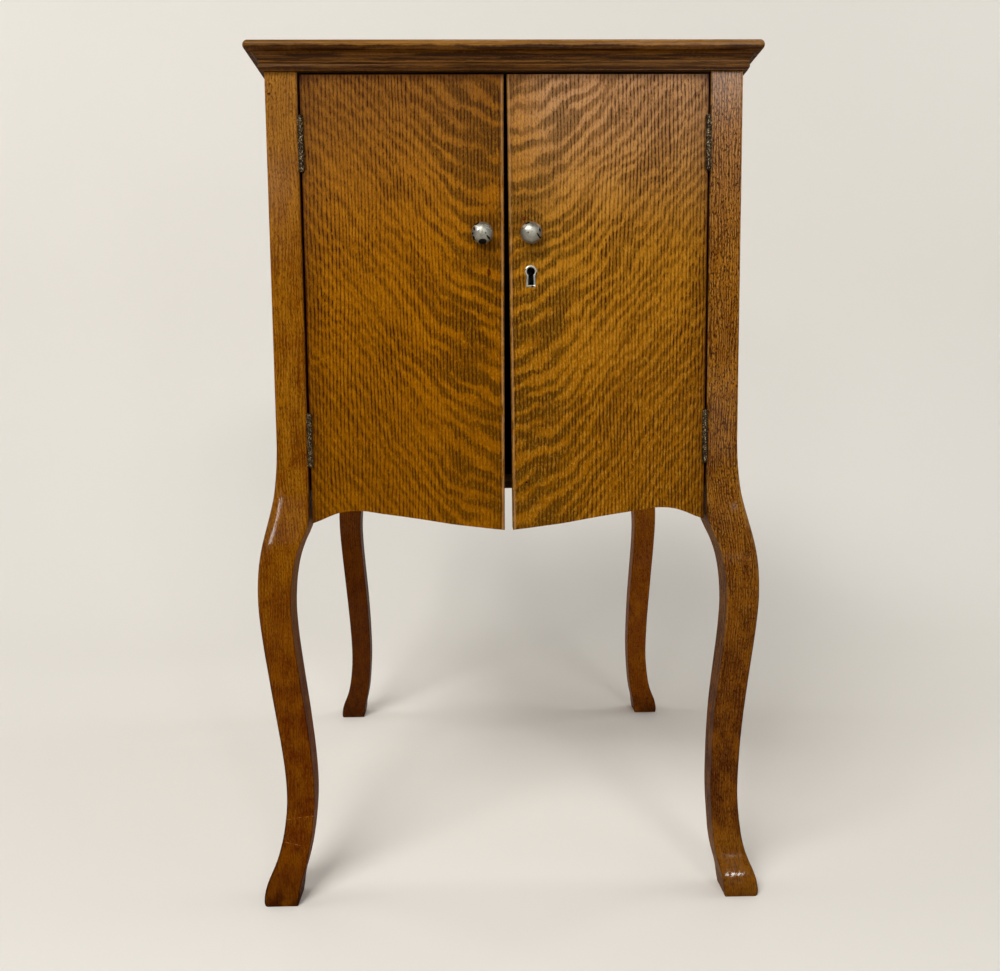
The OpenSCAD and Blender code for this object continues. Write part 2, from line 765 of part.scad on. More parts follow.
notch_w = 5.5;
notch_h = 3;
notch_in = 3.2;       // from the keyhole's middle to the notch's near side
module lock_bolt() {
  color(brass) difference() {
    translate([lock_x0, bolt_y, bolt_z]) cube([bolt_len, bolt_d, bolt_h]);
    // notch the key's bit works in
    translate([knob_x - notch_in, bolt_y - over, bolt_z - over])
      cube([notch_w, bolt_d + 2 * over, notch_h + over]);
  }
}

// screws and their holes start at the head's face and run along +Z
flat_head_r = 1.9;
flat_head_t = 0.8;
module flat_screw(length) {
  cylinder(r = screw_r - fit, h = length);
  cylinder(r1 = flat_head_r, r2 = screw_r - fit, h = flat_head_t);
}
module sunk_hole(sink, depth) {
  translate([0, 0, -over]) cylinder(r = screw_r, h = depth + over);
  translate([0, 0, -0.01]) cylinder(r1 = sink_r, r2 = screw_r, h = sink);
}

module lock_screws() {
  color(brass) for (p = lock_screw_spots()) translate([p[0], door_back, p[1]])
    rotate([90, 0, 0]) flat_screw(lock_screw_hole - 0.5);
}

module lock_strike() {
  color(brass) difference() {
    translate([strike_x - strike_t, strike_y - strike_d / 2, strike_z - strike_h / 2])
      cube([strike_t, strike_d, strike_h]);
    bolt_way(strike_x - 2 * strike_t, 3 * strike_t);
    at_strike_screws() sunk_hole(1.1, strike_t + over);
  }
}
module strike_screws() {
  color(brass) at_strike_screws() flat_screw(strike_hole - 0.5);
}

// door bolt, inside the left door
function guide_screw_spots() = [for (s = [-1, 1])
  for (z = [guide_z0 + guide_screw_end, guide_z0 + guide_h - guide_screw_end])
    [rod_x + s * (guide_w / 2 - guide_screw_side), z]];
rod_fit = 0.06;
grip_r = 1.8;
grip_len = 6;
grip_cap_r = 3;
grip_cap_t = 2.2;

module door_bolt_guide() {
  color(brass) difference() {
    union() {
      translate([rod_x - guide_w / 2, door_back, guide_z0]) cube([guide_w, guide_t, guide_h]);
      for (z = [guide_z0 + loop_end, guide_z0 + guide_h - loop_h - loop_end])
        translate([rod_x - loop_w / 2, door_back, z]) cube([loop_w, rod_off + loop_w / 2, loop_h]);
    }
    translate([rod_x, rod_y, guide_z0 - over])
      cylinder(r = rod_r + rod_fit, h = guide_h + 2 * over);
    for (p = guide_screw_spots()) translate([p[0], door_back + guide_t, p[1]]) rotate([90, 0, 0])
      sunk_hole(1.05, guide_t + over);
  }
}

module door_bolt_rod() {
  grip_z = guide_z0 + loop_end + loop_h + grip_r + over + 2;
  color(brass) {
    translate([rod_x, rod_y, rod_z0]) cylinder(r = rod_r, h = rod_top - rod_z0);
    translate([rod_x, rod_y, grip_z]) rotate([-90, 0, 0]) {
      cylinder(r = grip_r, h = grip_len);
      translate([0, 0, grip_len]) cylinder(r = grip_cap_r, h = grip_cap_t);
    }
  }
}

module door_bolt_screws() {
  color(brass) for (p = guide_screw_spots()) translate([p[0], door_back + guide_t, p[1]])
    rotate([90, 0, 0]) flat_screw(guide_t + guide_hole - 0.5);
}

// hinges
function knuckle_z(k) = k * (knuckle_len + knuckle_gap);

module knuckles(ks, bore) {
  for (k = ks) translate([0, 0, knuckle_z(k)]) difference() {
    cylinder(r = knuckle_r, h = knuckle_len);
    translate([0, 0, -over]) cylinder(r = bore, h = knuckle_len + 2 * over);
  }
}

// leaf standing at x from x0, its screw heads sunk from the gap side
module leaf(x0, facing, own, other, bore) {
  union() {
    difference() {
      translate([x0, 0, 0]) cube([leaf_t, leaf_w + door_front - hinge_y, hinge_len]);
      for (k = other) translate([0, 0, knuckle_z(k) - knuckle_gap])
        cylinder(r = knuckle_r + knuckle_clear, h = knuckle_len + 2 * knuckle_gap);
      for (k = own) translate([0, 0, knuckle_z(k) - over]) cylinder(r = bore, h = knuckle_len + 2 * over);
      for (k = [0 : 2])
        translate([facing > 0 ? x0 + leaf_t : x0, hinge_screw_y[k] + door_front - hinge_y,
            hinge_len / 2 + hinge_screw_z[k] * hinge_len])
          rotate([0, -90 * facing, 0]) sunk_hole(0.95, leaf_t + over);
    }
    knuckles(own, bore);
  }
}

module at_hinge(right, z) {
  on_side(right) translate([-hinge_x, hinge_y, z - hinge_len / 2]) children();
}
pin_head_r = 1.9;
pin_head_t = 0.8;
leaf_frame_x = hinge_x - post_in - gain;
leaf_door_x = gain - leaf_t - (door_edge - hinge_x);

module frame_leaf(right, z) {
  color(tarnish) at_hinge(right, z) leaf(leaf_frame_x, 1, [0, 2, 4], [1, 3], pin_r + 0.02);
}
module door_leaf(right, z) {
  color(tarnish) at_hinge(right, z) leaf(leaf_door_x, -1, [1, 3], [0, 2, 4], pin_r + pin_fit);
}
module hinge_pin(right, z) {
  color(tarnish) at_hinge(right, z) {
    cylinder(r = pin_r, h = hinge_len);
    translate([0, 0, hinge_len]) cylinder(r1 = pin_head_r, r2 = 0.7 * pin_head_r, h = pin_head_t);
    translate([0, 0, -pin_head_t]) cylinder(r1 = 0.7 * pin_head_r, r2 = pin_head_r, h = pin_head_t);
  }
}
module leaf_screws(right, z, on_door) {
  at_hinge(right, z) for (k = [0 : 2])
    translate([on_door ? leaf_door_x : leaf_frame_x + leaf_t, hinge_screw_y[k] + door_front - hinge_y,
        hinge_len / 2 + hinge_screw_z[k] * hinge_len])
      rotate([0, on_door ? 90 : -90, 0]) flat_screw(hinge_screw_len);
}

module hinge_leaf_frame_upper_left() { frame_leaf(false, hinge_high); }
module hinge_leaf_frame_lower_left() { frame_leaf(false, hinge_low_z); }
module hinge_leaf_frame_upper_right() { frame_leaf(true, hinge_high); }
module hinge_leaf_frame_lower_right() { frame_leaf(true, hinge_low_z); }
module hinge_leaf_door_upper_left() { door_leaf(false, hinge_high); }
module hinge_leaf_door_lower_left() { door_leaf(false, hinge_low_z); }
module hinge_leaf_door_upper_right() { door_leaf(true, hinge_high); }
module hinge_leaf_door_lower_right() { door_leaf(true, hinge_low_z); }
module hinge_pin_upper_left() { hinge_pin(false, hinge_high); }
module hinge_pin_lower_left() { hinge_pin(false, hinge_low_z); }
module hinge_pin_upper_right() { hinge_pin(true, hinge_high); }
module hinge_pin_lower_right() { hinge_pin(true, hinge_low_z); }
module hinge_screws_frame() {
  color(steel) for (right = [false, true]) for (z = [hinge_high, hinge_low_z])
    leaf_screws(right, z, false);
}
module hinge_screws_left_door() {
  color(steel) for (z = [hinge_high, hinge_low_z]) leaf_screws(false, z, true);
}
module hinge_screws_right_door() {
  color(steel) for (z = [hinge_high, hinge_low_z]) leaf_screws(true, z, true);
}

leg_front_left();
leg_front_right();
leg_rear_left();
leg_rear_right();
top_board();
moulding_front();
moulding_left();
moulding_right();
side_panel_left();
side_panel_right();
back_panel();
floor_board();
top_rail_front();
top_rail_back();
top_rail_left();
top_rail_right();
door_stop();
floor_cleat_left();
floor_cleat_right();
floor_cleat_back();
divider_1();
divider_2();
divider_3();
divider_4();
top_screws();
cleat_screws();
back_nails();
left_door();
right_door();
left_knob();
right_knob();
left_knob_screw();
right_knob_screw();
keyhole_escutcheon();
lock_case();
lock_bolt();
lock_screws();
lock_strike();
strike_screws();
door_bolt_guide();
door_bolt_rod();
door_bolt_screws();
hinge_leaf_frame_upper_left();
hinge_leaf_frame_lower_left();
hinge_leaf_frame_upper_right();
hinge_leaf_frame_lower_right();
hinge_leaf_door_upper_left();
hinge_leaf_door_lower_left();
hinge_leaf_door_upper_right();
hinge_leaf_door_lower_right();
hinge_pin_upper_left();
hinge_pin_lower_left();
hinge_pin_upper_right();
hinge_pin_lower_right();
hinge_screws_frame();
hinge_screws_left_door();
hinge_screws_right_door();
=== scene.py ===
import math

import bmesh
import bpy
from mathutils import Matrix, Vector


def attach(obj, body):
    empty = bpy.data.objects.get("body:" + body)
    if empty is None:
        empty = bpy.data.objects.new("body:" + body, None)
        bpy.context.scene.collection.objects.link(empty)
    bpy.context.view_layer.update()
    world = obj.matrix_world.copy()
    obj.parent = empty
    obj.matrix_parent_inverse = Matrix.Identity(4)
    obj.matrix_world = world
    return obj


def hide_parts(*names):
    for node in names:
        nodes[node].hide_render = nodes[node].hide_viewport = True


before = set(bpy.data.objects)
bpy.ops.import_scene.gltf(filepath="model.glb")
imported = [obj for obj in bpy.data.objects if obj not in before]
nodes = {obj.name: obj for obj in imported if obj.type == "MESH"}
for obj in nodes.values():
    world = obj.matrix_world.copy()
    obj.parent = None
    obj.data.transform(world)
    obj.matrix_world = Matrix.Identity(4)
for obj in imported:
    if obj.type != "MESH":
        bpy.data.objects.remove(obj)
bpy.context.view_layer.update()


def srgb(r, g, b):
    # a colour as picked on screen, to the linear values that nodes take
    shares = (r / 255, g / 255, b / 255)
    return tuple((c / 12.92 if c <= 0.04045 else ((c + 0.055) / 1.055) ** 2.4) for c in shares) + (1.0,)


class Wire:
    # one output socket of a node tree; maths on wires adds Math nodes
    def __init__(self, tree, socket=None):
        self.tree, self.socket = tree, socket

    def node(self, kind, settings=None, sockets=None, out=0):
        made = self.tree.nodes.new(kind)
        for key, value in (settings or {}).items():
            if key == "stops":
                ramp = made.color_ramp.elements
                while len(ramp) < len(value):
                    ramp.new(0.5)
                for element, (position, colour) in zip(ramp, value):
                    element.position, element.color = position, colour
            else:
                setattr(made, key, value)
        for key, value in (sockets or {}).items():
            if isinstance(value, Wire):
                self.tree.links.new(value.socket, made.inputs[key])
            else:
                made.inputs[key].default_value = value
        return Wire(self.tree, made.outputs[out])

    def sibling(self, name):
        return Wire(self.tree, self.socket.node.outputs[name])

    def maths(self, operation, a, b=0.0):
        return self.node("ShaderNodeMath", {"operation": operation}, {0: a, 1: b})

    def __add__(self, other):
        return self.maths("ADD", self, other)

    __radd__ = __add__

    def __sub__(self, other):
        return self.maths("SUBTRACT", self, other)

    def __rsub__(self, other):
        return self.maths("SUBTRACT", other, self)

    def __mul__(self, other):
        return self.maths("MULTIPLY", self, other)

    __rmul__ = __mul__

    def __truediv__(self, other):
        return self.maths("DIVIDE", self, other)

    def __rtruediv__(self, other):
        return self.maths("DIVIDE", other, self)

    def __abs__(self):
        return self.maths("ABSOLUTE", self)

    def ease(self, low, high):
        # 0 below low, 1 above high, smooth between
        return self.node("ShaderNodeMapRange", {"interpolation_type": "SMOOTHSTEP"},
                         {0: self, 1: low, 2: high, 3: 0.0, 4: 1.0})

    def near(self, middle, reach):
        # 1 at middle, down to 0 at reach from it
        return 1 - abs(self - middle).ease(0.0, reach)

    def vector(self, x, y, z):
        return self.node("ShaderNodeCombineXYZ", None, {0: x, 1: y, 2: z})

    def noise(self, place, size=1.0, detail=2.0, rough=0.5, warp=0.0):
        sockets = {"Vector": place, "Scale": size, "Detail": detail, "Roughness": rough, "Distortion": warp}
        return self.node("ShaderNodeTexNoise", {"noise_dimensions": "3D"}, sockets)

    def mix(self, first, second, factor, how="MIX"):
        return self.node("ShaderNodeMix", {"data_type": "RGBA", "blend_type": how},
                         {0: factor, 6: first, 7: second}, out=2)

    def bump(self, strength, distance, height):
        sockets = {"Strength": strength, "Distance": distance, "Height": height}
        return self.node("ShaderNodeBump", None, sockets)


def startFinish(name):
    material = bpy.data.materials.new(name)
    material.use_nodes = True
    tree = material.node_tree
    shader = tree.nodes["Principled BSDF"]
    place = Wire(tree).node("ShaderNodeTexCoord", out=3)
    parts = place.node("ShaderNodeSeparateXYZ", None, {0: place})
    x, y, z = (parts.sibling(axis) * 1000 for axis in "XYZ")      # millimetres in the shared frame
    return material, shader, x, y, z


def feed(shader, **sockets):
    names = {"colour": "Base Color", "rough": "Roughness", "metal": "Metallic", "coat": "Coat Weight",
             "coatRough": "Coat Roughness", "normal": "Normal", "gloss": "Specular IOR Level"}
    for key, value in sockets.items():
        if isinstance(value, Wire):
            value.tree.links.new(value.socket, shader.inputs[names[key]])
        else:
            shader.inputs[names[key]].default_value = value


# outer faces of the posts, and the knobs and keyhole on the doors, in millimetres
case = {"halfWide": 192.5, "halfDeep": 227.5, "knobAcross": 19.8, "knobLevel": 562.0, "keyholeLevel": 532.4}

doorOak = {
    "left": {"fleck": srgb(146, 86, 0), "glow": srgb(170, 112, 12), "outer": srgb(112, 65, 0),
             "inner": srgb(90, 54, 2), "pore": srgb(40, 7, 0), "tan": srgb(136, 84, 14),
             "topSheen": srgb(152, 112, 62), "top": 0.3, "seed": 3.1, "flat": 0.3, "knee": 50, "steep": 1.4,
             "gap": 15},
    "right": {"fleck": srgb(154, 94, 2), "glow": srgb(188, 134, 40), "outer": srgb(112, 67, 0),
              "inner": srgb(90, 56, 4), "pore": srgb(42, 9, 0), "tan": srgb(142, 92, 28),
              "topSheen": srgb(186, 146, 110), "top": 0.64, "seed": 9.7, "flat": 0.3, "knee": 52, "steep": 1.36,
              "gap": 14},
    "lineGap": 2.95, "meet": 1.3, "meetTop": 688, "meetSlope": 0.006, "edgeRubAndHighlight": srgb(160, 120, 76),
    "dent": (-14.6, 531.6), "dentRed": srgb(58, 12, 2), "nailHole": (15.2, 358.7),
    "holeBlack": srgb(20, 8, 2), "drip": (14.4, 574.4), "dripRed": srgb(84, 20, 0),
}


def poreLines(x, turn, along, deep, seed, dashLength=22.0, dotLength=2.4, broken=0.3):
    # thin dark pore lines with paler wood between them; turn is how many lines have gone by, and tooth
    # shifts what crosses the lines a little from one line to the next
    line = x.maths("FLOOR", turn)
    part = abs(turn - line - 0.5)
    dash = x.noise(x.vector(line * 7.13 + seed, along / dashLength, deep / 9), detail=3.0, rough=0.65)
    dots = x.noise(x.vector(line * 3.71 - seed, along / dotLength, deep / 5), detail=1.0)
    ink = dash * (1 - broken) + dots * broken
    dark = (1 - part.ease(0.04, 0.3)) * ink.ease(0.3 + broken * 0.06, 0.5 + broken * 0.06)
    pale = part.ease(0.2, 0.46) * (dash * 0.4 + dots * 0.6).ease(0.42, 0.6)
    tooth = x.noise(x.vector(line * 5.31 + seed, along / 34, deep / 9), detail=1.0) - 0.5
    return dark, pale, tooth


def rayFigure(spec, wide, up, deep, u, rise, seamed=1.0, face=1.0):
    # quarter-sawn oak: pore lines run up, pale ray ribbons cross them; u counts from one edge of the board,
    # and face is 0 on the edges, which show no ribbons
    seed = spec["seed"]
    sway = wide.noise(wide.vector(wide / 34 + seed, up / 150, deep / 34), detail=1.0) - 0.5
    wobble = wide.noise(wide.vector(wide / 5 + seed, up / 26, deep / 5), detail=2.5) - 0.5
    turn = u / doorOak["lineGap"] + (deep + case["halfDeep"]) * 0.5 - 68.25 + sway * 3.0 + wobble * 0.9
    dark, pale, tooth = poreLines(wide, turn, up, deep, seed, 13.0)
    roll = wide.noise(wide.vector(wide / 70 + seed, up / 70, deep / 70), detail=1.0) - 0.5
    slow = wide.noise(wide.vector(wide / 26 + seed, up / 26, deep / 26), detail=2.0) - 0.5
    away = u.ease(30, 120)
    fray = wide.noise(wide.vector(wide / 9 + seed, up / 15, deep / 9), detail=2.0) - 0.5
    t = up - rise + roll * 34 + slow * 14 + fray * 8 + tooth * (7 + away * 9)
    wave = wide.maths("SINE", t * (2 * math.pi / spec["gap"])) * 0.5 + 0.5
    patch = wide.noise(wide.vector(u / 30 + seed, t / 10, deep / 60), detail=2.0, rough=0.5)
    spread = wide.noise(wide.vector(u / 40 - seed, t / 45, deep / 60), detail=2.0)
    seam = (1 - (u + (patch - 0.5) * 60).ease(20, 80)) * seamed
    body = wave * 0.2 + patch * 0.66 + spread * (0.3 + seam * 0.2) - seam * 0.15
    fleck = body.ease(0.46, 0.68) * (1 - away * 0.3) * face
    heart = body.ease(0.56, 0.76)
    fine = wide.noise(wide.vector(wide / 0.75, up / 2.1, deep / 0.75), detail=3.0, rough=0.7)
    strayed = (wide + wobble * 3) / 1.2 - seed
    spark = wide.noise(wide.vector(strayed, up / 3.0, deep / 1.2), detail=2.0, rough=0.6)
    tone = wide.noise(wide.vector(wide / 14 + seed, up / 120, deep / 40), detail=2.0)
    calm = wide.noise(wide.vector(wide / 50 + seed, up / 80, deep / 50), detail=2.0).ease(0.36, 0.6)
    ground = wide.mix(spec["outer"], spec["inner"], seam * 0.9 + tone.ease(0.45, 0.7) * 0.2)
    ground = wide.mix(ground, spec["tan"], pale * (0.5 - seam * 0.2))
    gold = wide.mix(spec["fleck"], spec["outer"], seam * 0.3)
    gold = wide.mix(gold, spec["glow"], heart * pale * (0.8 - seam * 0.4))
    wood = wide.mix(ground, gold, fleck)
    deepLine = dark * (0.95 - fleck * 0.42 - seam * 0.18) * (0.62 + calm * 0.38) * (0.3 + face * 0.7)
    return wood, fleck, dark, deepLine, fine, spark


def doorFinish(side):
    spec = doorOak[side]
    material, shader, x, y, z = startFinish("quarter sawn door oak " + side)
    mirrored = x * (-1 if side == "left" else 1)
    u = mirrored.maths("MAXIMUM", mirrored, 0.0)          # from the middle of the front
    bend = u - spec["knee"]
    turned = bend + x.maths("SQRT", bend * bend + 420)
    rise = u * spec["flat"] + turned * (0.5 * (spec["steep"] - spec["flat"]))
    rise = rise * (1.3 - (z - 318) / 740)                  # steeper lower down
    # in from the meeting edge
    inward = u - doorOak["meet"] - (doorOak["meetTop"] - z) * doorOak["meetSlope"]
    wood, fleck, dark, deepLine, fine, spark = rayFigure(spec, x, z, y, u, rise, face=inward.ease(-0.2, 1.4))
    topSheen = z.ease(380, 700) * spec["top"] * (u.ease(4, 40) * 0.6 + 0.4)     # painted sheen: paler and hazier towards the top, where the lamps' haze falls
    sheenTint = x.mix(spec["glow"], spec["topSheen"], z.ease(540, 700))
    wood = x.mix(wood, sheenTint, topSheen * (0.38 + fleck * 0.62))
    wood = x.mix(wood, spec["glow"], spark.ease(0.52, 0.62) * (0.34 + fleck * 0.3) * (1 - topSheen))
    # painted shade: the pores darker under the top sheen, as in raking light
    wood = x.mix(wood, spec["pore"], deepLine + fine.ease(0.5, 0.66) * (0.4 + topSheen * 0.2))
    # painted shade: the doors darker lower down, where less light falls
    wood = x.mix(wood, spec["inner"], (1 - z.ease(340, 540)) * 0.26)
    if side == "left":
        # painted shade: the top of the left door darker
        wood = x.mix(wood, spec["pore"], z.ease(600, 680) * 0.26)
    # the meeting edge: a pale line, painted highlight of the rounded edge with wear, and a darker line beside
    # it
    front = y.near(-case["halfDeep"], 2.4)
    uneven = x.noise(x.vector(x, y, z / 12)).ease(0.3, 0.55)
    wood = x.mix(wood, doorOak["edgeRubAndHighlight"], inward.near(1.5, 1.3) * front * uneven * 0.7)
    wood = x.mix(wood, spec["pore"], inward.near(3.4, 1.2) * uneven * 0.45)
    worn = u.ease(142, 165) * 0.3 + u.ease(162, 165) * 0.5               # worn here is painted shade and dirt: darker towards the hinges, most at the edge by the gap
    # painted shadow of the moulding along the doors' top edge
    wood = x.mix(wood, spec["pore"], worn + z.ease(680, 687) * 0.45)
    if side == "left":
        dx, dz = x - doorOak["dent"][0], (z - doorOak["dent"][1]) * 0.5
        hollow = (1 - (dx * dx + dz * dz).ease(0.9, 4.2)) * fine.ease(0.25, 0.45)
        wood = x.mix(wood, doorOak["dentRed"], hollow * 0.95)
    else:
        dx, dz = x - doorOak["nailHole"][0], z - doorOak["nailHole"][1]
        hollow = 1 - (dx * dx + dz * dz).ease(0.35, 0.9)
        wood = x.mix(wood, doorOak["holeBlack"], hollow)
        dx, dz = x - doorOak["drip"][0], z - doorOak["drip"][1]
        wood = x.mix(wood, doorOak["dripRed"], (1 - (dx * dx + dz * dz).ease(0.8, 3.2)) * fine.ease(0.3, 0.5))
    height = fine * 0.3 - dark * (1 - fleck * 0.6) - hollow
    peel = x.noise(x.vector(x, y, z), size=0.35, detail=2.0)
    feed(shader, colour=wood, rough=0.42 + dark * 0.14 - fleck * 0.06, gloss=0.01,
         coat=0.015 + z.ease(480, 700) * 0.07, coatRough=0.3, normal=x.bump(0.3, 0.0004, height + peel * 0.4))
    return material


legOak = {
    "frontLeft": {"gold": srgb(144, 90, 8), "amber": srgb(114, 62, 1), "shade": srgb(88, 36, 0),
                  "pore": srgb(42, 10, 0), "tan": srgb(170, 118, 40), "topSheen": srgb(158, 112, 52), "seed": 2.3,
                  "gap": 2.4, "sheenWeight": 0.1, "broken": 0.5, "line": 0.36, "gloss": 0.01, "grimeAndShade": 0.75},
    "frontRight": {"gold": srgb(146, 93, 18), "amber": srgb(114, 64, 6), "shade": srgb(76, 33, 1),
                   "pore": srgb(38, 12, 0), "tan": srgb(174, 124, 62), "topSheen": srgb(172, 128, 90), "seed": 7.9,
                   "gap": 2.2, "sheenWeight": 0.6, "broken": 0.75, "line": 0.72, "gloss": 0.02, "grimeAndShade": 0.3},
    "rearLeft": {"gold": srgb(104, 54, 4), "amber": srgb(84, 40, 1), "shade": srgb(72, 30, 0),
                 "pore": srgb(34, 12, 0), "tan": srgb(110, 64, 12), "topSheen": srgb(110, 64, 12), "seed": 12.4,
                 "gap": 2.4, "sheenWeight": 0.0, "broken": 0.5, "line": 0.5, "gloss": 0.02, "grimeAndShade": 0.6},
    "rearRight": {"gold": srgb(164, 102, 12), "amber": srgb(142, 80, 2), "shade": srgb(126, 62, 0),
                  "pore": srgb(60, 22, 0), "tan": srgb(166, 104, 20), "topSheen": srgb(166, 104, 20), "seed": 17.2,
                  "gap": 2.4, "sheenWeight": 0.0, "broken": 0.5, "line": 0.7, "gloss": 0.02, "grimeAndShade": 0.6},
    "dirtAndShade": srgb(30, 8, 0), "scratch": srgb(178, 120, 60), "scratches": ((49.5, 0.18), (70.5, -0.12)),
    "rubAndHighlight": srgb(184, 134, 70), "pits": (-189.0, 677.0), "toeRed": srgb(60, 18, 0),
}


def legFinish(which):
    spec = legOak[which]
    seed = spec["seed"]
    material, shader, x, y, z = startFinish("leg oak " + which)
    arris = x.node("ShaderNodeAttribute", {"attribute_name": "arris"}, out=2)
    across = x + y * 0.45
    sway = x.noise(x.vector(across / 12 + seed, z / 90, y / 30), detail=1.0) - 0.5
    wobble = x.noise(x.vector(x / 4 + seed, z / 16, y / 4), detail=2.5) - 0.5
    turn = across / spec["gap"] + sway * 4.0 + wobble * 1.4
    dark, pale = poreLines(x, turn, z, y, seed, 6.0, 3.6, spec["broken"])[:2]
    # short dark pores in rows
    pores = x.noise(x.vector(x / 0.75 + seed, z / 2.6, y / 0.75), detail=2.0, rough=0.6)
    fine = x.noise(x.vector(x / 0.8 + seed, z / 3.4, y / 0.8), detail=3.0, rough=0.7)
    tone = x.noise(x.vector(x / 7 + seed, z / 30, y / 7), detail=3.0, rough=0.6)
    cloud = x.noise(x.vector(x / 14 + seed, z / 24, y / 14), detail=3.0, rough=0.62)
    blot = x.noise(x.vector(x / 3.0 + seed, z / 6.5, y / 3.0), detail=3.0, rough=0.65)
    below = 1 - z.ease(150, 400)                              # the legs are darker than the posts
    wood = x.mix(spec["amber"], spec["gold"], tone.ease(0.3, 0.66) * (1 - below * 0.6))
    wood = x.mix(wood, spec["shade"], (cloud.ease(0.38, 0.66) * 0.5 + 0.5) * below)
    wood = x.mix(wood, spec["shade"], cloud.ease(0.46, 0.68) * (1 - below) * 0.6)
    # painted light: the posts lighter towards the top, with a pale sheen between the pores
    high = z.ease(430, 690)
    wood = x.mix(wood, spec["tan"], pale * (0.3 + spec["sheenWeight"] * (0.35 + high * 0.65)) * (1 - below * 0.7))
    wood = x.mix(wood, x.mix(spec["gold"], spec["topSheen"], z.ease(500, 690)), high * 0.42)
    wood = x.mix(wood, spec["pore"], dark * spec["line"] * (1 - below * 0.5) + fine.ease(0.5, 0.74) * 0.3)
    wood = x.mix(wood, spec["tan"], fine.ease(0.56, 0.7) * (0.3 - below * 0.12))
    wood = x.mix(wood, spec["pore"], pores.ease(0.52, 0.62) * (spec["line"] + 0.16 - below * 0.06))
    dirtAndShade = abs(x).near(166.0, 2.6) * (1 - below) * cloud.ease(0.2, 0.5)          # darker along the door's gap: dirt and painted shade
    wood = x.mix(wood, spec["pore"], dirtAndShade * 0.8)
    # painted shade: the posts darker low down
    lowPost = (1 - z.ease(360, 520)) * (1 - below)
    wood = x.mix(wood, spec["pore"], blot.ease(0.5, 0.68) * (0.06 + below * 0.3) + lowPost * 0.1)
    wood = x.mix(wood, spec["amber"], (1 - cloud).ease(0.5, 0.66) * below * 0.4)
    # dirt and painted shade at the foot, and along the legs' arrises
    grimeAndShade = (1 - z.ease(3, 34)) * (cloud.ease(0.3, 0.6) * 0.6 + 0.3)
    grimeAndShade = grimeAndShade + arris.ease(0.5, 1.0) * below * 0.75 * blot.ease(0.3, 0.5)
    wood = x.mix(wood, legOak["dirtAndShade"], grimeAndShade * spec["grimeAndShade"])
    # pale arrises on the posts: painted highlight of the rounded edges, with wear
    rubbed = arris.ease(0.3, 0.9) * (1 - below) * blot.ease(0.4, 0.6)
    wood = x.mix(wood, legOak["rubAndHighlight"], rubbed * spec["sheenWeight"] * 0.8)
    if which == "frontLeft":
        dx, dz = x - legOak["pits"][0], z - legOak["pits"][1]
        wood = x.mix(wood, spec["pore"], (1 - (dx * dx + dz * dz * 0.4).ease(4, 14)) * blot.ease(0.46, 0.56))
        for level, slope in legOak["scratches"]:                 # pale ones across the ankle
            mark = (z + (x + 190) * slope + (tone - 0.5) * 3.0).near(level, 0.7)
            mark = mark * blot.ease(0.42, 0.56) * fine.ease(0.35, 0.55)
            wood = x.mix(wood, legOak["scratch"], mark * 0.5)
        wood = x.mix(wood, legOak["toeRed"], z.near(24, 26) * 0.35)
    elif which == "frontRight":
        # painted light: the right toe lighter
        wood = x.mix(wood, spec["gold"], z.near(24, 48) * (0.12 + blot.ease(0.36, 0.62) * 0.36))
    peel = x.noise(x.vector(x, y, z / 1.3), size=0.42, detail=4.0, rough=0.65)
    height = peel * (0.4 + below * 1.1) + fine * 0.3 - dark * 0.4 - pores.ease(0.54, 0.66) * 0.4
    # thick shiny varnish, along the outer edge of the left knee, and on the right toe and knee
    if which == "frontLeft":
        thick = (x + 197 + (345 - z) * 0.24).near(4.5, 6.0) * z.near(325, 40) * blot.ease(0.36, 0.5)
    elif which == "frontRight":
        thick = z.near(21, 14) * x.near(191, 13) * peel.ease(0.44, 0.54)
        thick = thick + z.near(337, 5) * x.near(189, 5) * 0.4
    else:
        thick = cloud * 0.1
    feed(shader, colour=wood, rough=0.42 + dark * 0.1, gloss=spec["gloss"],
         coat=0.01 + z.ease(560, 700) * 0.12 + thick * 0.9, coatRough=0.12,
         normal=x.bump(0.5, 0.0006, height))
    return material


mouldOak = {"rubbed": srgb(138, 92, 30), "brown": srgb(98, 60, 18), "dark": srgb(54, 28, 4),
            "pore": srgb(22, 8, 0), "tan": srgb(142, 96, 40), "bare": srgb(206, 176, 146),
            "bead": srgb(112, 74, 30), "fillet": srgb(138, 92, 44)}


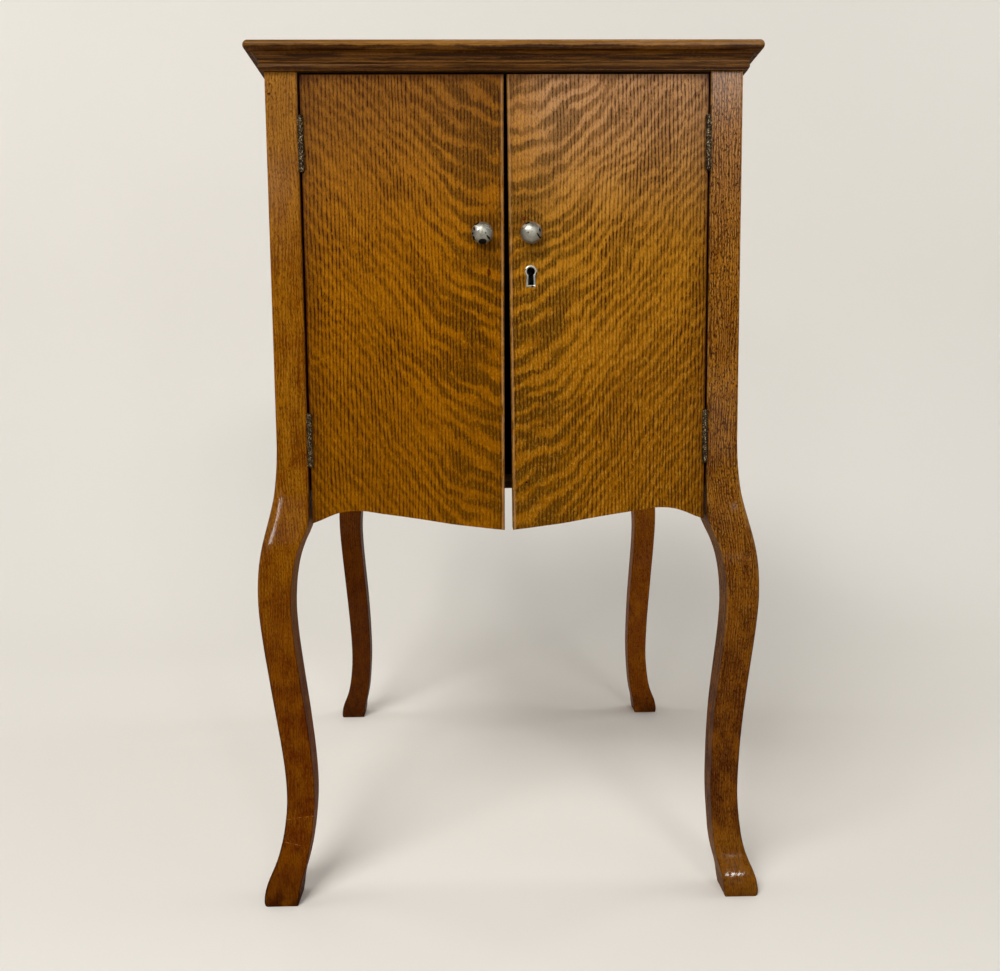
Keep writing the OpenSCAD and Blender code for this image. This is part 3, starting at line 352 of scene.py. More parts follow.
def mouldFinish(name, lengthwise, seed, rubTop=True):
    # grain runs along the strip; the nosing's front is rubbed back to golden wood
    spec = mouldOak
    material, shader, x, y, z = startFinish(name)
    along, across = (x, y) if lengthwise == "x" else (y, x)
    fine = x.noise(x.vector(along / 9 + seed, across / 0.6, z / 0.6), detail=3.0, rough=0.65)
    tone = x.noise(x.vector(along / 60 + seed, across / 4, z / 2.4), detail=3.0, rough=0.6)
    wavy = x.noise(x.vector(along / 16 + seed, across / 30, z / 30), detail=3.0, rough=0.6) - 0.5
    lines, pale = poreLines(x, (z + across * 0.4) / 1.6 + tone * 2, along, across, seed)[:2]
    # painted shade: darker below 694 mm, on the lower bead and the underside
    wood = x.mix(spec["dark"], spec["brown"], tone.ease(0.42, 0.62) * (0.25 + z.ease(689, 694) * 0.75))
    if rubTop:
        edge = z + wavy * 5
        wood = x.mix(wood, spec["rubbed"], edge.ease(705.2, 706.6) * (0.6 + tone.ease(0.3, 0.6) * 0.4))
        bare = (z + wavy * 3.4).near(709.6, 1.5) * fine.ease(0.42, 0.6) * x.ease(-150, 20)
        wood = x.mix(wood, spec["bare"], bare * abs(y + 227).ease(30, 8) * 0.55)
        wood = x.mix(wood, spec["dark"], (1 - x.ease(-190, -110)) * (1 - y.ease(-236, -226)) * 0.4)
    else:
        wood = x.mix(wood, spec["bead"], (z + wavy * 1.4).near(694.6, 1.5) * tone.ease(0.3, 0.5) * 0.8)
        wood = x.mix(wood, spec["fillet"], (z + wavy * 1.6).near(696.8, 0.8) * 0.75)
    wood = x.mix(wood, spec["pore"], lines * 0.3 + fine.ease(0.5, 0.7) * 0.5)
    wood = x.mix(wood, spec["tan"], pale * 0.15)
    coat = 0.1 + z.ease(703, 707) * (0.06 + x.ease(-120, 0) * 0.34) if rubTop else 0.14
    feed(shader, colour=wood, rough=0.5, gloss=0.0, coat=coat, coatRough=0.25,
         normal=x.bump(0.3, 0.0004, fine * 0.5 - lines * 0.6))
    return material


panelOak = {"fleck": srgb(150, 92, 6), "glow": srgb(176, 118, 22), "outer": srgb(118, 70, 2),
            "inner": srgb(96, 58, 4), "pore": srgb(44, 12, 0), "tan": srgb(142, 92, 24)}


def panelFinish(side, seed, gap):
    # side panels, quarter-sawn as the doors
    spec = {**panelOak, "seed": seed, "gap": gap}
    material, shader, x, y, z = startFinish("side panel oak " + side)
    u = y + 228.0
    wood, fleck, dark, deepLine, fine, spark = rayFigure(spec, y, z, x, u, u * 0.62, 0.0)
    wood = x.mix(wood, spec["glow"], spark.ease(0.52, 0.62) * (0.3 + fleck * 0.3))
    wood = x.mix(wood, spec["pore"], deepLine + fine.ease(0.5, 0.66) * 0.4)
    feed(shader, colour=wood, rough=0.42 + dark * 0.14, gloss=0.02, coat=0.04, coatRough=0.28,
         normal=x.bump(0.3, 0.0004, fine * 0.3 - dark * (1 - fleck * 0.6)))
    return material


innerWood = {"pale": srgb(160, 120, 70), "brown": srgb(122, 84, 42), "dark": srgb(70, 42, 16),
             "stain": srgb(70, 44, 20), "dirtAndShade": srgb(30, 18, 8)}


def innerFinish(name, grain, seed, stain=0.0):
    # unpolished inner boards, aged and dusty
    spec = innerWood
    material, shader, x, y, z = startFinish(name)
    along, across, deep = {"x": (x, y, z), "y": (y, z, x), "z": (z, x, y)}[grain]
    tone = x.noise(x.vector(along / 140 + seed, across / 14, deep / 14), detail=3.0, rough=0.6, warp=0.4)
    rings = x.noise(x.vector(along / 70 + seed, across / 2.6, deep / 2.6), detail=3.0, rough=0.6)
    fine = x.noise(x.vector(along / 7, across / 0.6, deep / 0.6), detail=2.0)
    wood = x.mix(spec["brown"], spec["pale"], tone.ease(0.36, 0.66))
    wood = x.mix(wood, spec["dark"], rings.ease(0.48, 0.62) * 0.5 + fine.ease(0.5, 0.66) * 0.4)
    wood = x.mix(wood, spec["stain"], stain)
    wood = x.mix(wood, spec["dirtAndShade"], (1 - y.ease(-206, -190)) * 0.8)             # dirt and painted shade behind the doors
    feed(shader, colour=wood, rough=0.66 + rings * 0.15, gloss=0.1,
         normal=x.bump(0.2, 0.0003, rings + fine * 0.5))
    return material


nickelWear = {"bright": srgb(190, 189, 178), "dull": srgb(126, 123, 112), "bare": srgb(14, 9, 5),
              "lip": srgb(238, 236, 226)}


def nickelFinish(name, middle, worn, rubbed):
    # satin plate with turning marks; worn spots are black, rubbed spots white: painted glints on worn edges,
    # both as x, z, reach along, reach across and lean in degrees, from the middle
    spec = nickelWear
    material, shader, x, y, z = startFinish(name)
    right, up = x - middle[0], z - middle[1]
    haze = x.noise(x.vector(x, y, z), size=0.22, detail=3.0)
    jag = x.noise(x.vector(x, y, z), size=0.9, detail=2.0)
    away = x.maths("SQRT", right * right + up * up)
    turned = x.noise(x.vector(away / 0.32, haze * 2, 0.0), detail=1.0)

    def spots(places, soft):
        found = None
        for px, pz, along, across, lean in places:
            c, s = math.cos(math.radians(lean)), math.sin(math.radians(lean))
            dx, dz = right - px, up - pz
            u, v = (dx * c + dz * s) / along, (dz * c - dx * s) / across
            spot = 1 - (u * u + v * v + (jag - 0.5) * 0.9).ease(0.8, soft)
            found = spot if found is None else x.maths("MAXIMUM", found, spot)
        return found

    metal = x.mix(spec["dull"], spec["bright"], haze.ease(0.3, 0.65) * 0.5 + turned.ease(0.42, 0.6) * 0.5)
    # painted shade: the lower half of the dome darker
    metal = x.mix(metal, spec["dull"], (1 - up.ease(-6, 3)) * 0.6)
    bare, bright = spots(worn, 1.15), spots(rubbed, 2.0)
    # painted highlight: white glints on the rubbed spots
    metal = x.mix(metal, spec["lip"], bright)
    metal = x.mix(metal, spec["bare"], bare)
    feed(shader, colour=metal, rough=0.4 + haze * 0.14 + bare * 0.3, metal=0.92 - bare * 0.92, gloss=0.1,
         normal=x.bump(0.3, 0.0003, haze + turned * 0.12 - bare * 0.8))
    return material


agedMetal = {"tarnish": srgb(40, 30, 18), "rubbed": srgb(160, 140, 106), "keyholeShade": srgb(8, 6, 4),
             "keyholeShadeLevel": 530}


def hingeFinish():
    # blackened metal with bright spots where it is rubbed
    material, shader, x, y, z = startFinish("tarnished hinge metal")
    speck = x.noise(x.vector(x / 0.9, y / 0.9, z / 1.3), detail=2.0, rough=0.6)
    cloud = x.noise(x.vector(x, y, z), size=0.25, detail=3.0)
    rubbed = (speck + (cloud - 0.5) * 0.3).ease(0.54, 0.64)
    colour = x.mix(agedMetal["tarnish"], agedMetal["rubbed"], rubbed)
    feed(shader, colour=colour, rough=0.6 - rubbed * 0.25, metal=0.5 + rubbed * 0.3, gloss=0.15,
         normal=x.bump(0.6, 0.0003, speck + cloud * 0.5))
    return material


def metalFinish(name, light, dark, rough, shadedKeyhole=False):
    material, shader, x, y, z = startFinish(name)
    cloud = x.noise(x.vector(x, y, z), size=0.3, detail=4.0, rough=0.65)
    speck = x.noise(x.vector(x, y, z), size=1.6, detail=2.0)
    colour = x.mix(dark, light, cloud.ease(0.35, 0.65))
    colour = x.mix(colour, agedMetal["tarnish"], speck.ease(0.6, 0.75) * 0.6)
    metal = 0.85
    if shadedKeyhole:
        # painted shade: black behind the keyhole, where the deep hole gets little light
        keyholeShade = 1 - abs(x - case["knobAcross"]).ease(4, 6)
        keyholeShade = keyholeShade * (1 - abs(z - agedMetal["keyholeShadeLevel"]).ease(12, 14))
        colour = x.mix(colour, agedMetal["keyholeShade"], keyholeShade)
        metal = metal - keyholeShade * metal
    feed(shader, colour=colour, rough=rough + cloud * 0.2, metal=metal,
         normal=x.bump(0.3, 0.0002, cloud + speck * 0.5))
    return material


def finishMesh(name, build, material, body, node, sharp=32):
    mesh = bpy.data.meshes.new(name)
    bmesh.ops.recalc_face_normals(build, faces=build.faces)
    for face in build.faces:
        face.smooth = True
    for edge in build.edges:
        edge.smooth = len(edge.link_faces) == 2 and edge.calc_face_angle(0.0) < math.radians(sharp)
    build.to_mesh(mesh)
    build.free()
    mesh.materials.append(material)
    piece = bpy.data.objects.new(name, mesh)
    bpy.context.scene.collection.objects.link(piece)
    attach(piece, body)
    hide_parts(node)
    return piece


def boxInto(build, low, high):
    corners = []
    for k in range(8):
        corners.append(build.verts.new([high[axis] if k >> axis & 1 else low[axis] for axis in range(3)]))
    for loop in ((0, 2, 3, 1), (4, 5, 7, 6), (0, 1, 5, 4), (2, 6, 7, 3), (0, 4, 6, 2), (1, 3, 7, 5)):
        build.faces.new([corners[k] for k in loop])


def rodInto(build, start, direction, length, radius, sides=16):
    turn = Vector(direction).to_track_quat("Z", "Y").to_matrix().to_4x4()
    place = Matrix.Translation(Vector(start) + Vector(direction) * (length / 2)) @ turn
    bmesh.ops.create_cone(build, cap_ends=True, segments=sides, radius1=radius, radius2=radius, depth=length,
                          matrix=place)


def carve(build, cutters):
    # cutters out of build, with the exact boolean; gives back a new bmesh
    solids = []
    for label, source in (("stock", build), ("cutters", cutters)):
        bmesh.ops.recalc_face_normals(source, faces=source.faces)
        mesh = bpy.data.meshes.new(label)
        source.to_mesh(mesh)
        source.free()
        solids.append(bpy.data.objects.new(label, mesh))
        bpy.context.scene.collection.objects.link(solids[-1])
    cut = solids[0].modifiers.new("carve", "BOOLEAN")
    cut.operation, cut.solver, cut.object = "DIFFERENCE", "EXACT", solids[1]
    bpy.context.view_layer.update()
    result = bmesh.new()
    result.from_object(solids[0], bpy.context.evaluated_depsgraph_get())
    for solid in solids:
        mesh = solid.data
        bpy.data.objects.remove(solid)
        bpy.data.meshes.remove(mesh)
    return result


# post and cabriole leg, sawn from one stick
legShape = {
    "post": 26, "top": 703, "height": 390, "knee": 16.5, "toe": 19.4, "lean": 1.9, "outerRound": 3.0,
    "kneeRound": 3.0, "innerRound": 1.2, "postRound": 0.8,
    "stations": [   # share of the height, of the knee, of the toe, thickness over the post's
        (0, 0, 0.972, 1.09), (0.008, 0, 0.998, 1.127), (0.02, 0, 0.984, 1.146), (0.036, 0, 0.926, 1.128),
        (0.052, 0, 0.822, 1.097), (0.07, 0, 0.666, 1.052), (0.09, 0, 0.513, 1.004), (0.113, 0, 0.391, 0.972),
        (0.139, 0, 0.295, 0.944), (0.17, 0, 0.215, 0.927), (0.205, 0, 0.158, 0.92),
        (0.243, 0.05, 0.105, 0.926),
        (0.287, 0.085, 0.107, 0.938), (0.333, 0.163, 0.1, 0.955), (0.379, 0.273, 0.085, 0.973),
        (0.425, 0.4, 0.066, 0.99), (0.472, 0.539, 0.045, 0.998), (0.518, 0.673, 0.025, 1.003),
        (0.564, 0.806, 0.01, 1.012), (0.61, 0.915, 0, 1.023), (0.651, 0.982, 0, 1.042), (0.687, 1, 0, 1.069),
        (0.723, 0.976, 0, 1.1), (0.759, 0.903, 0, 1.146), (0.79, 0.788, 0, 1.215), (0.815, 0.661, 0, 1.292),
        (0.841, 0.515, 0, 1.327), (0.867, 0.37, 0, 1.235), (0.892, 0.242, 0, 1.154), (0.918, 0.152, 0, 1.096),
        (0.944, 0.085, 0, 1.054), (0.969, 0.036, 0, 1.023), (1, 0, 0, 1)],
    "panelGroove": ((2.9, 19.9, 337.11), (13.1, 27.0, 710)),
    "backRebate": ((19.9, -18.6, 344.9), (28.0, 8.1, 710)),
    "hingeLevels": (634, 396), "hingeHalf": 21.6, "screwPlaces": ((10.5, -14.62), (6, 0), (10.5, 14.62)),
    "screwDepth": 12.4, "screwRadius": 1.1,
}


def easeThrough(rows, i, t):
    # a smooth curve through the rows of a table, t of the way from row i to the next
    mixed = []
    for p, q, r, e in zip(rows[max(i - 1, 0)], rows[i], rows[i + 1], rows[min(i + 2, len(rows) - 1)]):
        square, cube = 2 * p - 5 * q + 4 * r - e, 3 * q - p - 3 * r + e
        mixed.append(0.5 * (2 * q + (r - p) * t + square * t * t + cube * t ** 3))
    return mixed


def legRing(low, high, outer, inner):
    # corners of one cross-section, from the outer front corner on, each with how near it is to the arris
    ring, n = [], 6
    corners = [(low + outer, low + outer, outer, 180), (high - inner, low + inner, inner, 270),
               (high - inner, high - inner, inner, 0), (low + inner, high - inner, inner, 90)]
    for k, (cx, cy, r, start) in enumerate(corners):
        for j in range(n + 1):
            a = math.radians(start + 90 * j / n)
            ring.append((cx + r * math.cos(a), cy + r * math.sin(a), 1 - abs(j / n - 0.5) * 1.2))
        nx, ny, nr, nextStart = corners[(k + 1) % 4]
        a, b = math.radians(start + 90), math.radians(nextStart)
        ax, ay = cx + r * math.cos(a), cy + r * math.sin(a)
        bx, by = nx + nr * math.cos(b), ny + nr * math.sin(b)
        for share, near in ((0.07, 0.1), (0.36, 0.0), (0.64, 0.0), (0.93, 0.1)):
            ring.append((ax + (bx - ax) * share, ay + (by - ay) * share, near))
    return ring


def buildLeg(node, right, rear, material):
    shape = legShape
    build = bmesh.new()
    near = build.verts.layers.float.new("arris")
    rings, rows = [], shape["stations"]
    for i in range(len(rows) - 1):
        for k in range(4):
            rings.append(easeThrough(rows, i, k / 4))
    levels = []        # height, how far out, thickness and how round
    for share, knee, toe, wide in rings:
        out = shape["knee"] * knee + shape["toe"] * min(toe, 0.998)
        levels.append((share * shape["height"], out, shape["post"] * wide, min(1, (1 - share) * 6 + 0.12)))
    rise = shape["top"] - shape["height"]
    levels += [(shape["height"] + rise * k / 9, 0, shape["post"], 0.12) for k in range(10)]
    sx, sy = (1 if right else -1), (1 if rear else -1)
    loops = []
    for height, out, wide, soft in levels:
        share = height / shape["height"]
        # the front legs bow a little to the right above the toe
        bow = math.exp(-((share - 0.24) / 0.15) ** 2) * min(1, max(0, share - 0.03) * 9)
        lean = 0 if rear else shape["lean"] * bow
        outer = shape["outerRound"] * soft + shape["kneeRound"] * math.exp(-((height - 335) / 40) ** 2)
        inner = max(shape["innerRound"] * soft, shape["postRound"])
        loop = []
        for px, py, edge in legRing(-out, wide - out, max(outer, shape["postRound"]), inner):
            across, along = sx * (case["halfWide"] - px) + lean, sy * (case["halfDeep"] - py)
            vert = build.verts.new((across / 1000, along / 1000, height / 1000))
            vert[near] = edge
            loop.append(vert)
        loops.append(loop)
    n = len(loops[0])
    for low, high in zip(loops, loops[1:]):
        for j in range(n):
            build.faces.new((low[j], low[(j + 1) % n], high[(j + 1) % n], high[j]))
    build.faces.new(loops[0])
    build.faces.new(loops[-1])

    def at(px, py, pz):
        return (sx * (case["halfWide"] - px) / 1000, sy * (case["halfDeep"] - py) / 1000, pz / 1000)

    def slot(low, high):
        a, b = at(*low), at(*high)
        boxInto(cutters, [min(p) for p in zip(a, b)], [max(p) for p in zip(a, b)])

    cutters = bmesh.new()
    slot(*shape["panelGroove"])
    if rear:
        slot(*shape["backRebate"])
    else:
        for z in shape["hingeLevels"]:                                        # hinge gains and screw holes
            slot((25.6, -4.0, z - shape["hingeHalf"]), (28.0, 17.1, z + shape["hingeHalf"]))
            for dy, dz in shape["screwPlaces"]:
                deep, radius = shape["screwDepth"] / 1000, shape["screwRadius"] / 1000
                rodInto(cutters, at(27, dy, z + dz), (sx, 0, 0), deep, radius)
    return finishMesh(node + "_stick", carve(build, cutters), material, "cabinet", node)


# radius and height over the door: the screw's bore, the foot and neck, then after the dome its dimple
knobShape = {"radius": 8.85, "domeFrom": 8.5, "domeRise": 7.5, "domeSteps": 25, "segments": 72,
             "profile": [(0, 10), (1.98, 10), (2, 9.8), (2, 0), (2.4, 0), (4.7, 0), (5.0, 0.2), (5.0, 0.7),
                         (4.6, 1.1), (3.8, 1.7), (3.4, 2.6), (3.3, 3.8), (3.5, 4.7), (4.2, 5.4), (5.4, 6.1),
                         (6.8, 6.7), (7.8, 7.1), (8.35, 7.5), (8.7, 8.0)],
             "dimple": [(0.62, 15.93), (0.5, 15.84), (0.34, 15.76), (0, 15.74)]}


def buildKnob(node, sign, material, body, seed):
    shape = knobShape
    profile = list(shape["profile"])
    for k in range(shape["domeSteps"]):
        a = math.radians(90 * k / shape["domeSteps"])
        profile.append((shape["radius"] * math.cos(a), shape["domeFrom"] + shape["domeRise"] * math.sin(a)))
    profile += shape["dimple"]
    build = bmesh.new()
    segments, loops = shape["segments"], []
    middle, level = sign * case["knobAcross"], case["knobLevel"]
    for r, h in profile:
        out = (-case["halfDeep"] - h) / 1000
        if r < 0.001:
            loops.append([build.verts.new((middle / 1000, out, level / 1000))])
            continue
        loop = []
        for k in range(segments):
            a = 2 * math.pi * k / segments
            dent = 0.05 * math.sin(3 * a + seed) * math.sin(h * 0.6 + seed)
            dent += 0.03 * math.sin(7 * a - seed * 2 + h)
            worn = r - (abs(dent) if h > 8.2 else 0)
            px, pz = middle + worn * math.cos(a), level + worn * math.sin(a)
            loop.append(build.verts.new((px / 1000, out, pz / 1000)))
        loops.append(loop)
    for low, high in zip(loops, loops[1:]):
        for k in range(segments):
            m = (k + 1) % segments
            if len(low) == 1:
                build.faces.new((low[0], high[m], high[k]))
            elif len(high) == 1:
                build.faces.new((low[k], low[m], high[0]))
            else:
                build.faces.new((low[k], low[m], high[m], high[k]))
    return finishMesh(node + "_dome", build, material, body, node, sharp=50)


escutcheonShape = {
    "ring": 4.15, "waist": 2.7, "foot": 3.15, "drop": 11.75, "arc": 40,
    "section": [(0.93, -2.5), (0.93, 0.08), (0.74, 0.28), (0.36, 0.38), (-0.1, 0.4), (-0.52, 0.3),
                (-0.8, 0.05), (-0.9, -0.5), (-0.9, -2.5)],
}


def buildEscutcheon(material):
    # a rounded ring bent to the keyhole's outline
    shape = escutcheonShape
    opening = math.asin(shape["waist"] / shape["ring"])
    path = []
    for k in range(shape["arc"] + 1):
        a = opening + (2 * math.pi - 2 * opening) * k / shape["arc"]
        path.append((shape["ring"] * math.sin(a), -shape["ring"] * math.cos(a)))
    knees = [path[-1], (-shape["foot"], -shape["drop"]), (shape["foot"], -shape["drop"]), path[0]]
    for (ax, az), (bx, bz) in zip(knees, knees[1:]):
        path += [(ax + (bx - ax) * t, az + (bz - az) * t) for t in (0.25, 0.5, 0.75)]
        path += [(bx, bz)] if (bx, bz) != path[0] else []
    build = bmesh.new()
    loops, n = [], len(path)
    for k, (px, pz) in enumerate(path):
        (ax, az), (bx, bz) = path[k - 1], path[(k + 1) % n]
        before = Vector((px - ax, pz - az)).normalized()
        after = Vector((bx - px, bz - pz)).normalized()
        ahead = (before + after).normalized()
        out = Vector((ahead.y, -ahead.x)) / max(0.6, ahead.dot(before))
        loop = []
        for reach, high in shape["section"]:
            across, level = case["knobAcross"] + px + out.x * reach, case["keyholeLevel"] + pz + out.y * reach
            loop.append(build.verts.new((across / 1000, (-case["halfDeep"] - high) / 1000, level / 1000)))
        loops.append(loop)
    m = len(shape["section"])
    for low, high in zip(loops, loops[1:] + loops[:1]):
        for j in range(m):
            build.faces.new((low[j], low[(j + 1) % m], high[(j + 1) % m], high[j]))
    return finishMesh("keyhole_ring", build, material, "right_door",
                      "keyhole_escutcheon", sharp=50)


def soften(name, width, segments=2):
    # eased edges, in millimetres
    piece = nodes[name]
    weld = piece.modifiers.new("weld", "WELD")
    weld.merge_threshold = 0.00001
    flat = piece.modifiers.new("merge flats", "DECIMATE")
    flat.decimate_type = "DISSOLVE"
    flat.angle_limit = math.radians(0.6)
    edge = piece.modifiers.new("eased edges", "BEVEL")
    edge.width = width / 1000
    edge.segments = segments
    edge.limit_method = "ANGLE"
    edge.angle_limit = math.radians(38)
    edge.use_clamp_overlap = True
    edge.harden_normals = False
    even = piece.modifiers.new("even shading", "WEIGHTED_NORMAL")
    even.keep_sharp = True
    even.weight = 60


def wear(material, *names):
    for name in names:
        for slot in nodes[name].material_slots:
            slot.material = material


wear(doorFinish("left"), "left_door")
wear(doorFinish("right"), "right_door")
buildLeg("leg_front_left", False, False, legFinish("frontLeft"))
buildLeg("leg_front_right", True, False, legFinish("frontRight"))
buildLeg("leg_rear_left", False, True, legFinish("rearLeft"))
buildLeg("leg_rear_right", True, True, legFinish("rearRight"))
print("legs built")
wear(mouldFinish("moulding oak front", "x", 1.7, rubTop=False), "moulding_front")
wear(mouldFinish("moulding oak left", "y", 5.2, rubTop=False), "moulding_left")
wear(mouldFinish("moulding oak right", "y", 8.6, rubTop=False), "moulding_right")
wear(mouldFinish("top board oak", "x", 4.4), "top_board")
wear(panelFinish("left", 2.9, 15), "side_panel_left")
wear(panelFinish("right", 6.1, 14), "side_panel_right")
wear(innerFinish("back board", "z", 3.3, 0.25), "back_panel")
wear(innerFinish("case floor wood", "x", 5.9, 0.2), "floor_board", "floor_cleat_back", "top_rail_back")
wear(innerFinish("front rail oak", "x", 8.2, 0.5), "top_rail_front", "door_stop")
wear(innerFinish("side rail wood", "y", 7.1, 0.25), "top_rail_left", "top_rail_right", "floor_cleat_left",
     "floor_cleat_right")
wear(innerFinish("divider wood", "y", 1.1, 0.1), "divider_1", "divider_2", "divider_3", "divider_4")
nickelMarks = {
    "leftWorn": [(-4.2, 7.0, 2.3, 1.0, 32), (-6.4, 2.6, 0.8, 1.7, 15), (-7.7, -0.9, 0.7, 1.0, 0),
                 (-6.9, -4.4, 0.8, 1.8, 20), (0.2, -7.2, 3.4, 1.9, 0), (5.0, -4.4, 2.4, 0.75, -45),
                 (2.5, -1.0, 0.45, 0.45, 0)],
    "leftRubbed": [(-5.0, 4.8, 1.2, 0.6, -50), (-3.4, 2.0, 1.2, 0.5, 50), (3.6, 5.0, 1.7, 0.3, -20),
                   (4.2, 3.2, 1.6, 0.3, -20)],
    "rightWorn": [(-3.1, 7.3, 2.2, 1.0, 25), (6.7, 1.3, 0.8, 1.5, 15), (5.4, -2.8, 2.0, 0.7, -50),
                  (7.1, -4.2, 1.2, 0.7, 10), (-2.9, -1.0, 0.5, 0.5, 0)],
    "rightRubbed": [(-6.0, 4.6, 1.2, 0.8, 40), (-4.4, 2.6, 1.2, 0.7, 40), (5.4, 5.6, 1.4, 0.5, -40)],
    "ringWorn": [(-4.9, 1.4, 0.7, 0.9, 0), (4.6, -1.8, 0.6, 1.0, 0), (1.2, -12.0, 1.2, 0.5, 0)],
    "ringRubbed": [(-3.2, 3.4, 1.2, 0.5, 45), (2.6, -11.6, 0.9, 0.4, 0)],
}
for side, sign, seed in (("left", -1, 1.3), ("right", 1, 2.9)):
    middle = (sign * case["knobAcross"], case["knobLevel"])
    worn, rubbed = nickelMarks[side + "Worn"], nickelMarks[side + "Rubbed"]
    nickel = nickelFinish(side + " knob nickel", middle, worn, rubbed)
    buildKnob(side + "_knob", sign, nickel, side + "_door", seed)
middle = (case["knobAcross"], case["keyholeLevel"])
buildEscutcheon(nickelFinish("escutcheon nickel", middle, nickelMarks["ringWorn"], nickelMarks["ringRubbed"]))
print("knobs and keyhole ring built")
hingeNames = [n for n in nodes if n.startswith(("hinge_leaf", "hinge_pin"))]
wear(hingeFinish(), *hingeNames)
wear(metalFinish("old steel", srgb(128, 122, 112), srgb(88, 82, 74), 0.4), "top_screws", "cleat_screws",
     "back_nails", "left_knob_screw", "right_knob_screw", "hinge_screws_frame", "hinge_screws_left_door",
     "hinge_screws_right_door")
brass = (srgb(176, 142, 78), srgb(126, 98, 50), 0.34)
wear(metalFinish("lock case brass", *brass, shadedKeyhole=True), "lock_case")
wear(metalFinish("aged brass", *brass), "lock_bolt", "lock_screws", "lock_strike", "strike_screws",
     "door_bolt_guide", "door_bolt_rod", "door_bolt_screws")
print("finishes:", len(bpy.data.materials))

for name in ("left_door", "right_door"):
    soften(name, 0.9, 3)
for name in ("moulding_front", "moulding_left", "moulding_right", "top_board", "side_panel_left",
             "side_panel_right", "back_panel", "floor_board", "top_rail_front", "top_rail_back",
             "top_rail_left", "top_rail_right", "door_stop", "floor_cleat_left", "floor_cleat_right",
             "floor_cleat_back", "divider_1", "divider_2", "divider_3", "divider_4"):
    soften(name, 0.5)
for name in ("lock_case", "lock_bolt", "lock_strike", "door_bolt_guide", *hingeNames):
    soften(name, 0.15)

# the studio is in metres
studio = {"floor": srgb(238, 235, 229), "cloud": srgb(234, 231, 225), "wallAt": 1.25, "bend": 0.7,
          "bendSteps": 12, "half": 6.0, "front": -3.0, "height": 3.0, "air": (0.96, 0.97, 1.0, 1.0),
          "airStrength": 0.1}


def buildBackdrop():
    mesh = bpy.data.meshes.new("backdrop")
    build = bmesh.new()
    profile, bend = [(studio["front"], 0.0)], studio["bend"]
    for k in range(studio["bendSteps"] + 1):
        a = math.radians(90 * k / studio["bendSteps"])
        profile.append((studio["wallAt"] - bend + bend * math.sin(a), bend * (1 - math.cos(a))))
    profile.append((studio["wallAt"], studio["height"]))
    rows = [[build.verts.new((sx * studio["half"], py, pz)) for sx in (-1, 1)] for py, pz in profile]
    for low, high in zip(rows, rows[1:]):
        face = build.faces.new((low[0], low[1], high[1], high[0]))
        face.smooth = True
    build.to_mesh(mesh)
    build.free()
    drop = bpy.data.objects.new("backdrop", mesh)
    bpy.context.scene.collection.objects.link(drop)
    material = bpy.data.materials.new("pale paper")
    material.use_nodes = True
    shader = material.node_tree.nodes["Principled BSDF"]
    cloud = Wire(material.node_tree).node("ShaderNodeTexNoise", None, {"Scale": 3.0, "Detail": 2.0})
    feed(shader, colour=cloud.mix(studio["floor"], studio["cloud"], cloud), rough=0.85, gloss=0.2)
    mesh.materials.append(material)


buildBackdrop()

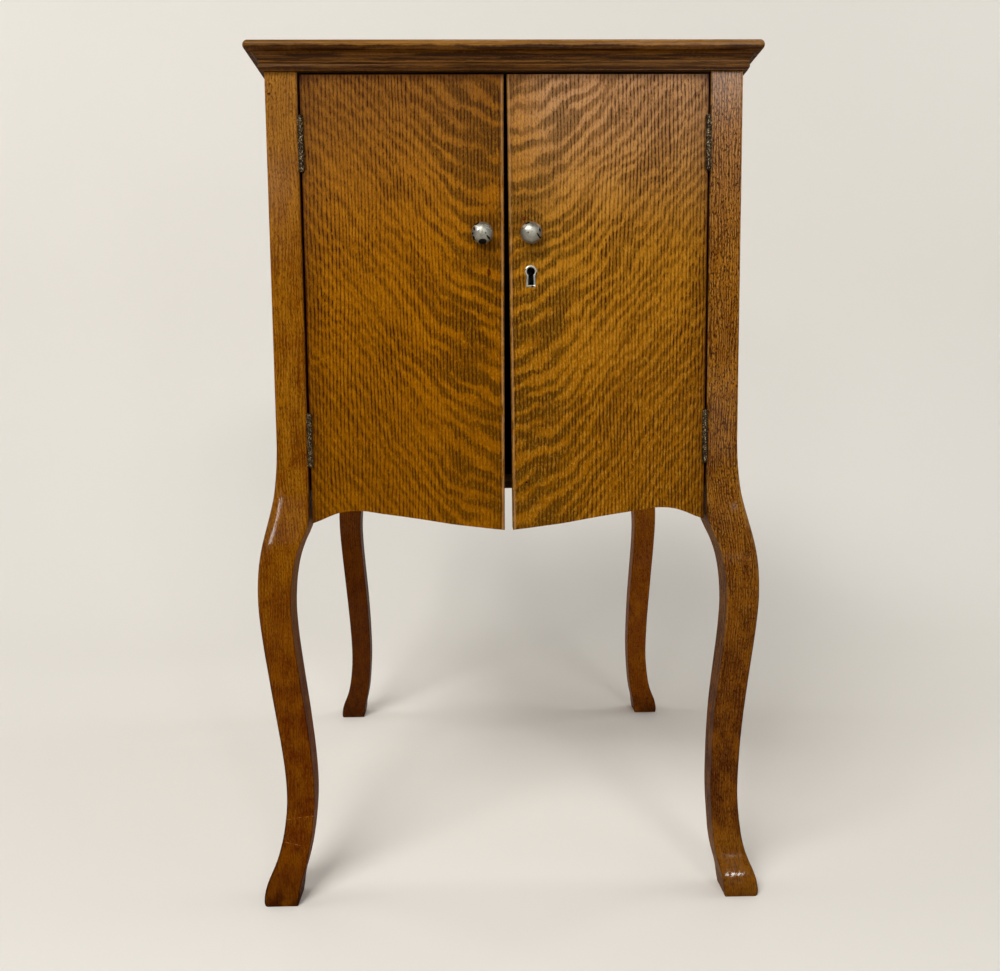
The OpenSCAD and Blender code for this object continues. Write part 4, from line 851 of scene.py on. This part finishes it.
lamps = [
    # name, place, aimed at, width, height, watts, colour
    ("ceiling front left", (-0.9, -1.7, 2.2), (0, 0, 0.4), 1.3, 0.9, 35, (1.0, 0.98, 0.94)),
    ("ceiling behind left", (-1.2, -3.0, 3.0), (0, 0, 0.5), 1.3, 0.6, 26, (1.0, 0.98, 0.95)),
    ("ceiling behind right", (1.2, -4.6, 2.2), (0, 0, 0.5), 1.2, 0.5, 38, (1.0, 0.98, 0.95)),
    ("small lamp left", (-0.7, -2.28, 0.97), (-0.18, -0.23, 0.33), 0.24, 0.24, 4, (1.0, 0.99, 0.97)),
    ("small lamp right", (0.67, -2.17, 0.4), (0.19, -0.24, 0.03), 0.16, 0.16, 2.5, (1.0, 0.99, 0.97)),
    ("side left", (-2.4, 0.3, 2.1), (0, 0, 0.5), 1.2, 1.2, 14, (1.0, 0.99, 0.97)),
    ("side right", (2.4, 0.3, 2.1), (0, 0, 0.5), 1.2, 1.2, 16, (1.0, 0.99, 0.97)),
    ("soft fill right", (1.9, -1.2, 1.1), (0, 0, 0.45), 1.2, 1.2, 3, (1.0, 0.99, 0.97)),
]
for name, place, target, width, height, watts, colour in lamps:
    lamp = bpy.data.lights.new(name, "AREA")
    lamp.shape, lamp.size, lamp.size_y, lamp.energy, lamp.color = "RECTANGLE", width, height, watts, colour
    hung = bpy.data.objects.new(name, lamp)
    hung.location = place
    hung.rotation_euler = (Vector(target) - Vector(place)).to_track_quat("-Z", "Y").to_euler()
    bpy.context.scene.collection.objects.link(hung)

world = bpy.data.worlds.new("soft room")
world.use_nodes = True
world.node_tree.nodes["Background"].inputs["Color"].default_value = studio["air"]
world.node_tree.nodes["Background"].inputs["Strength"].default_value = studio["airStrength"]
bpy.context.scene.world = world

shot = {"place": (-0.0253, -1.003, 0.434), "lens": 33.48, "down": 0.0999, "turn": 0.0233, "roll": 0.0095}


def setCamera():
    down, turn, roll = shot["down"], shot["turn"], shot["roll"]
    level = Vector((math.sin(turn), math.cos(turn), 0))
    side = Vector((math.cos(turn), -math.sin(turn), 0))
    ahead = math.cos(down) * level - math.sin(down) * Vector((0, 0, 1))
    up = math.sin(down) * level + math.cos(down) * Vector((0, 0, 1))
    right = math.cos(roll) * side - math.sin(roll) * up
    top = math.sin(roll) * side + math.cos(roll) * up
    camera = bpy.data.cameras.new("photo camera")
    camera.lens, camera.sensor_width, camera.sensor_fit = shot["lens"], 36, "HORIZONTAL"
    stand = bpy.data.objects.new("photo camera", camera)
    facing = Matrix((right, top, -ahead)).transposed().to_4x4()
    stand.matrix_world = Matrix.Translation(shot["place"]) @ facing
    bpy.context.scene.collection.objects.link(stand)
    bpy.context.scene.camera = stand


setCamera()
bpy.context.scene.view_settings.view_transform = "Standard"
print("studio: backdrop,", len(lamps), "lamps, camera")
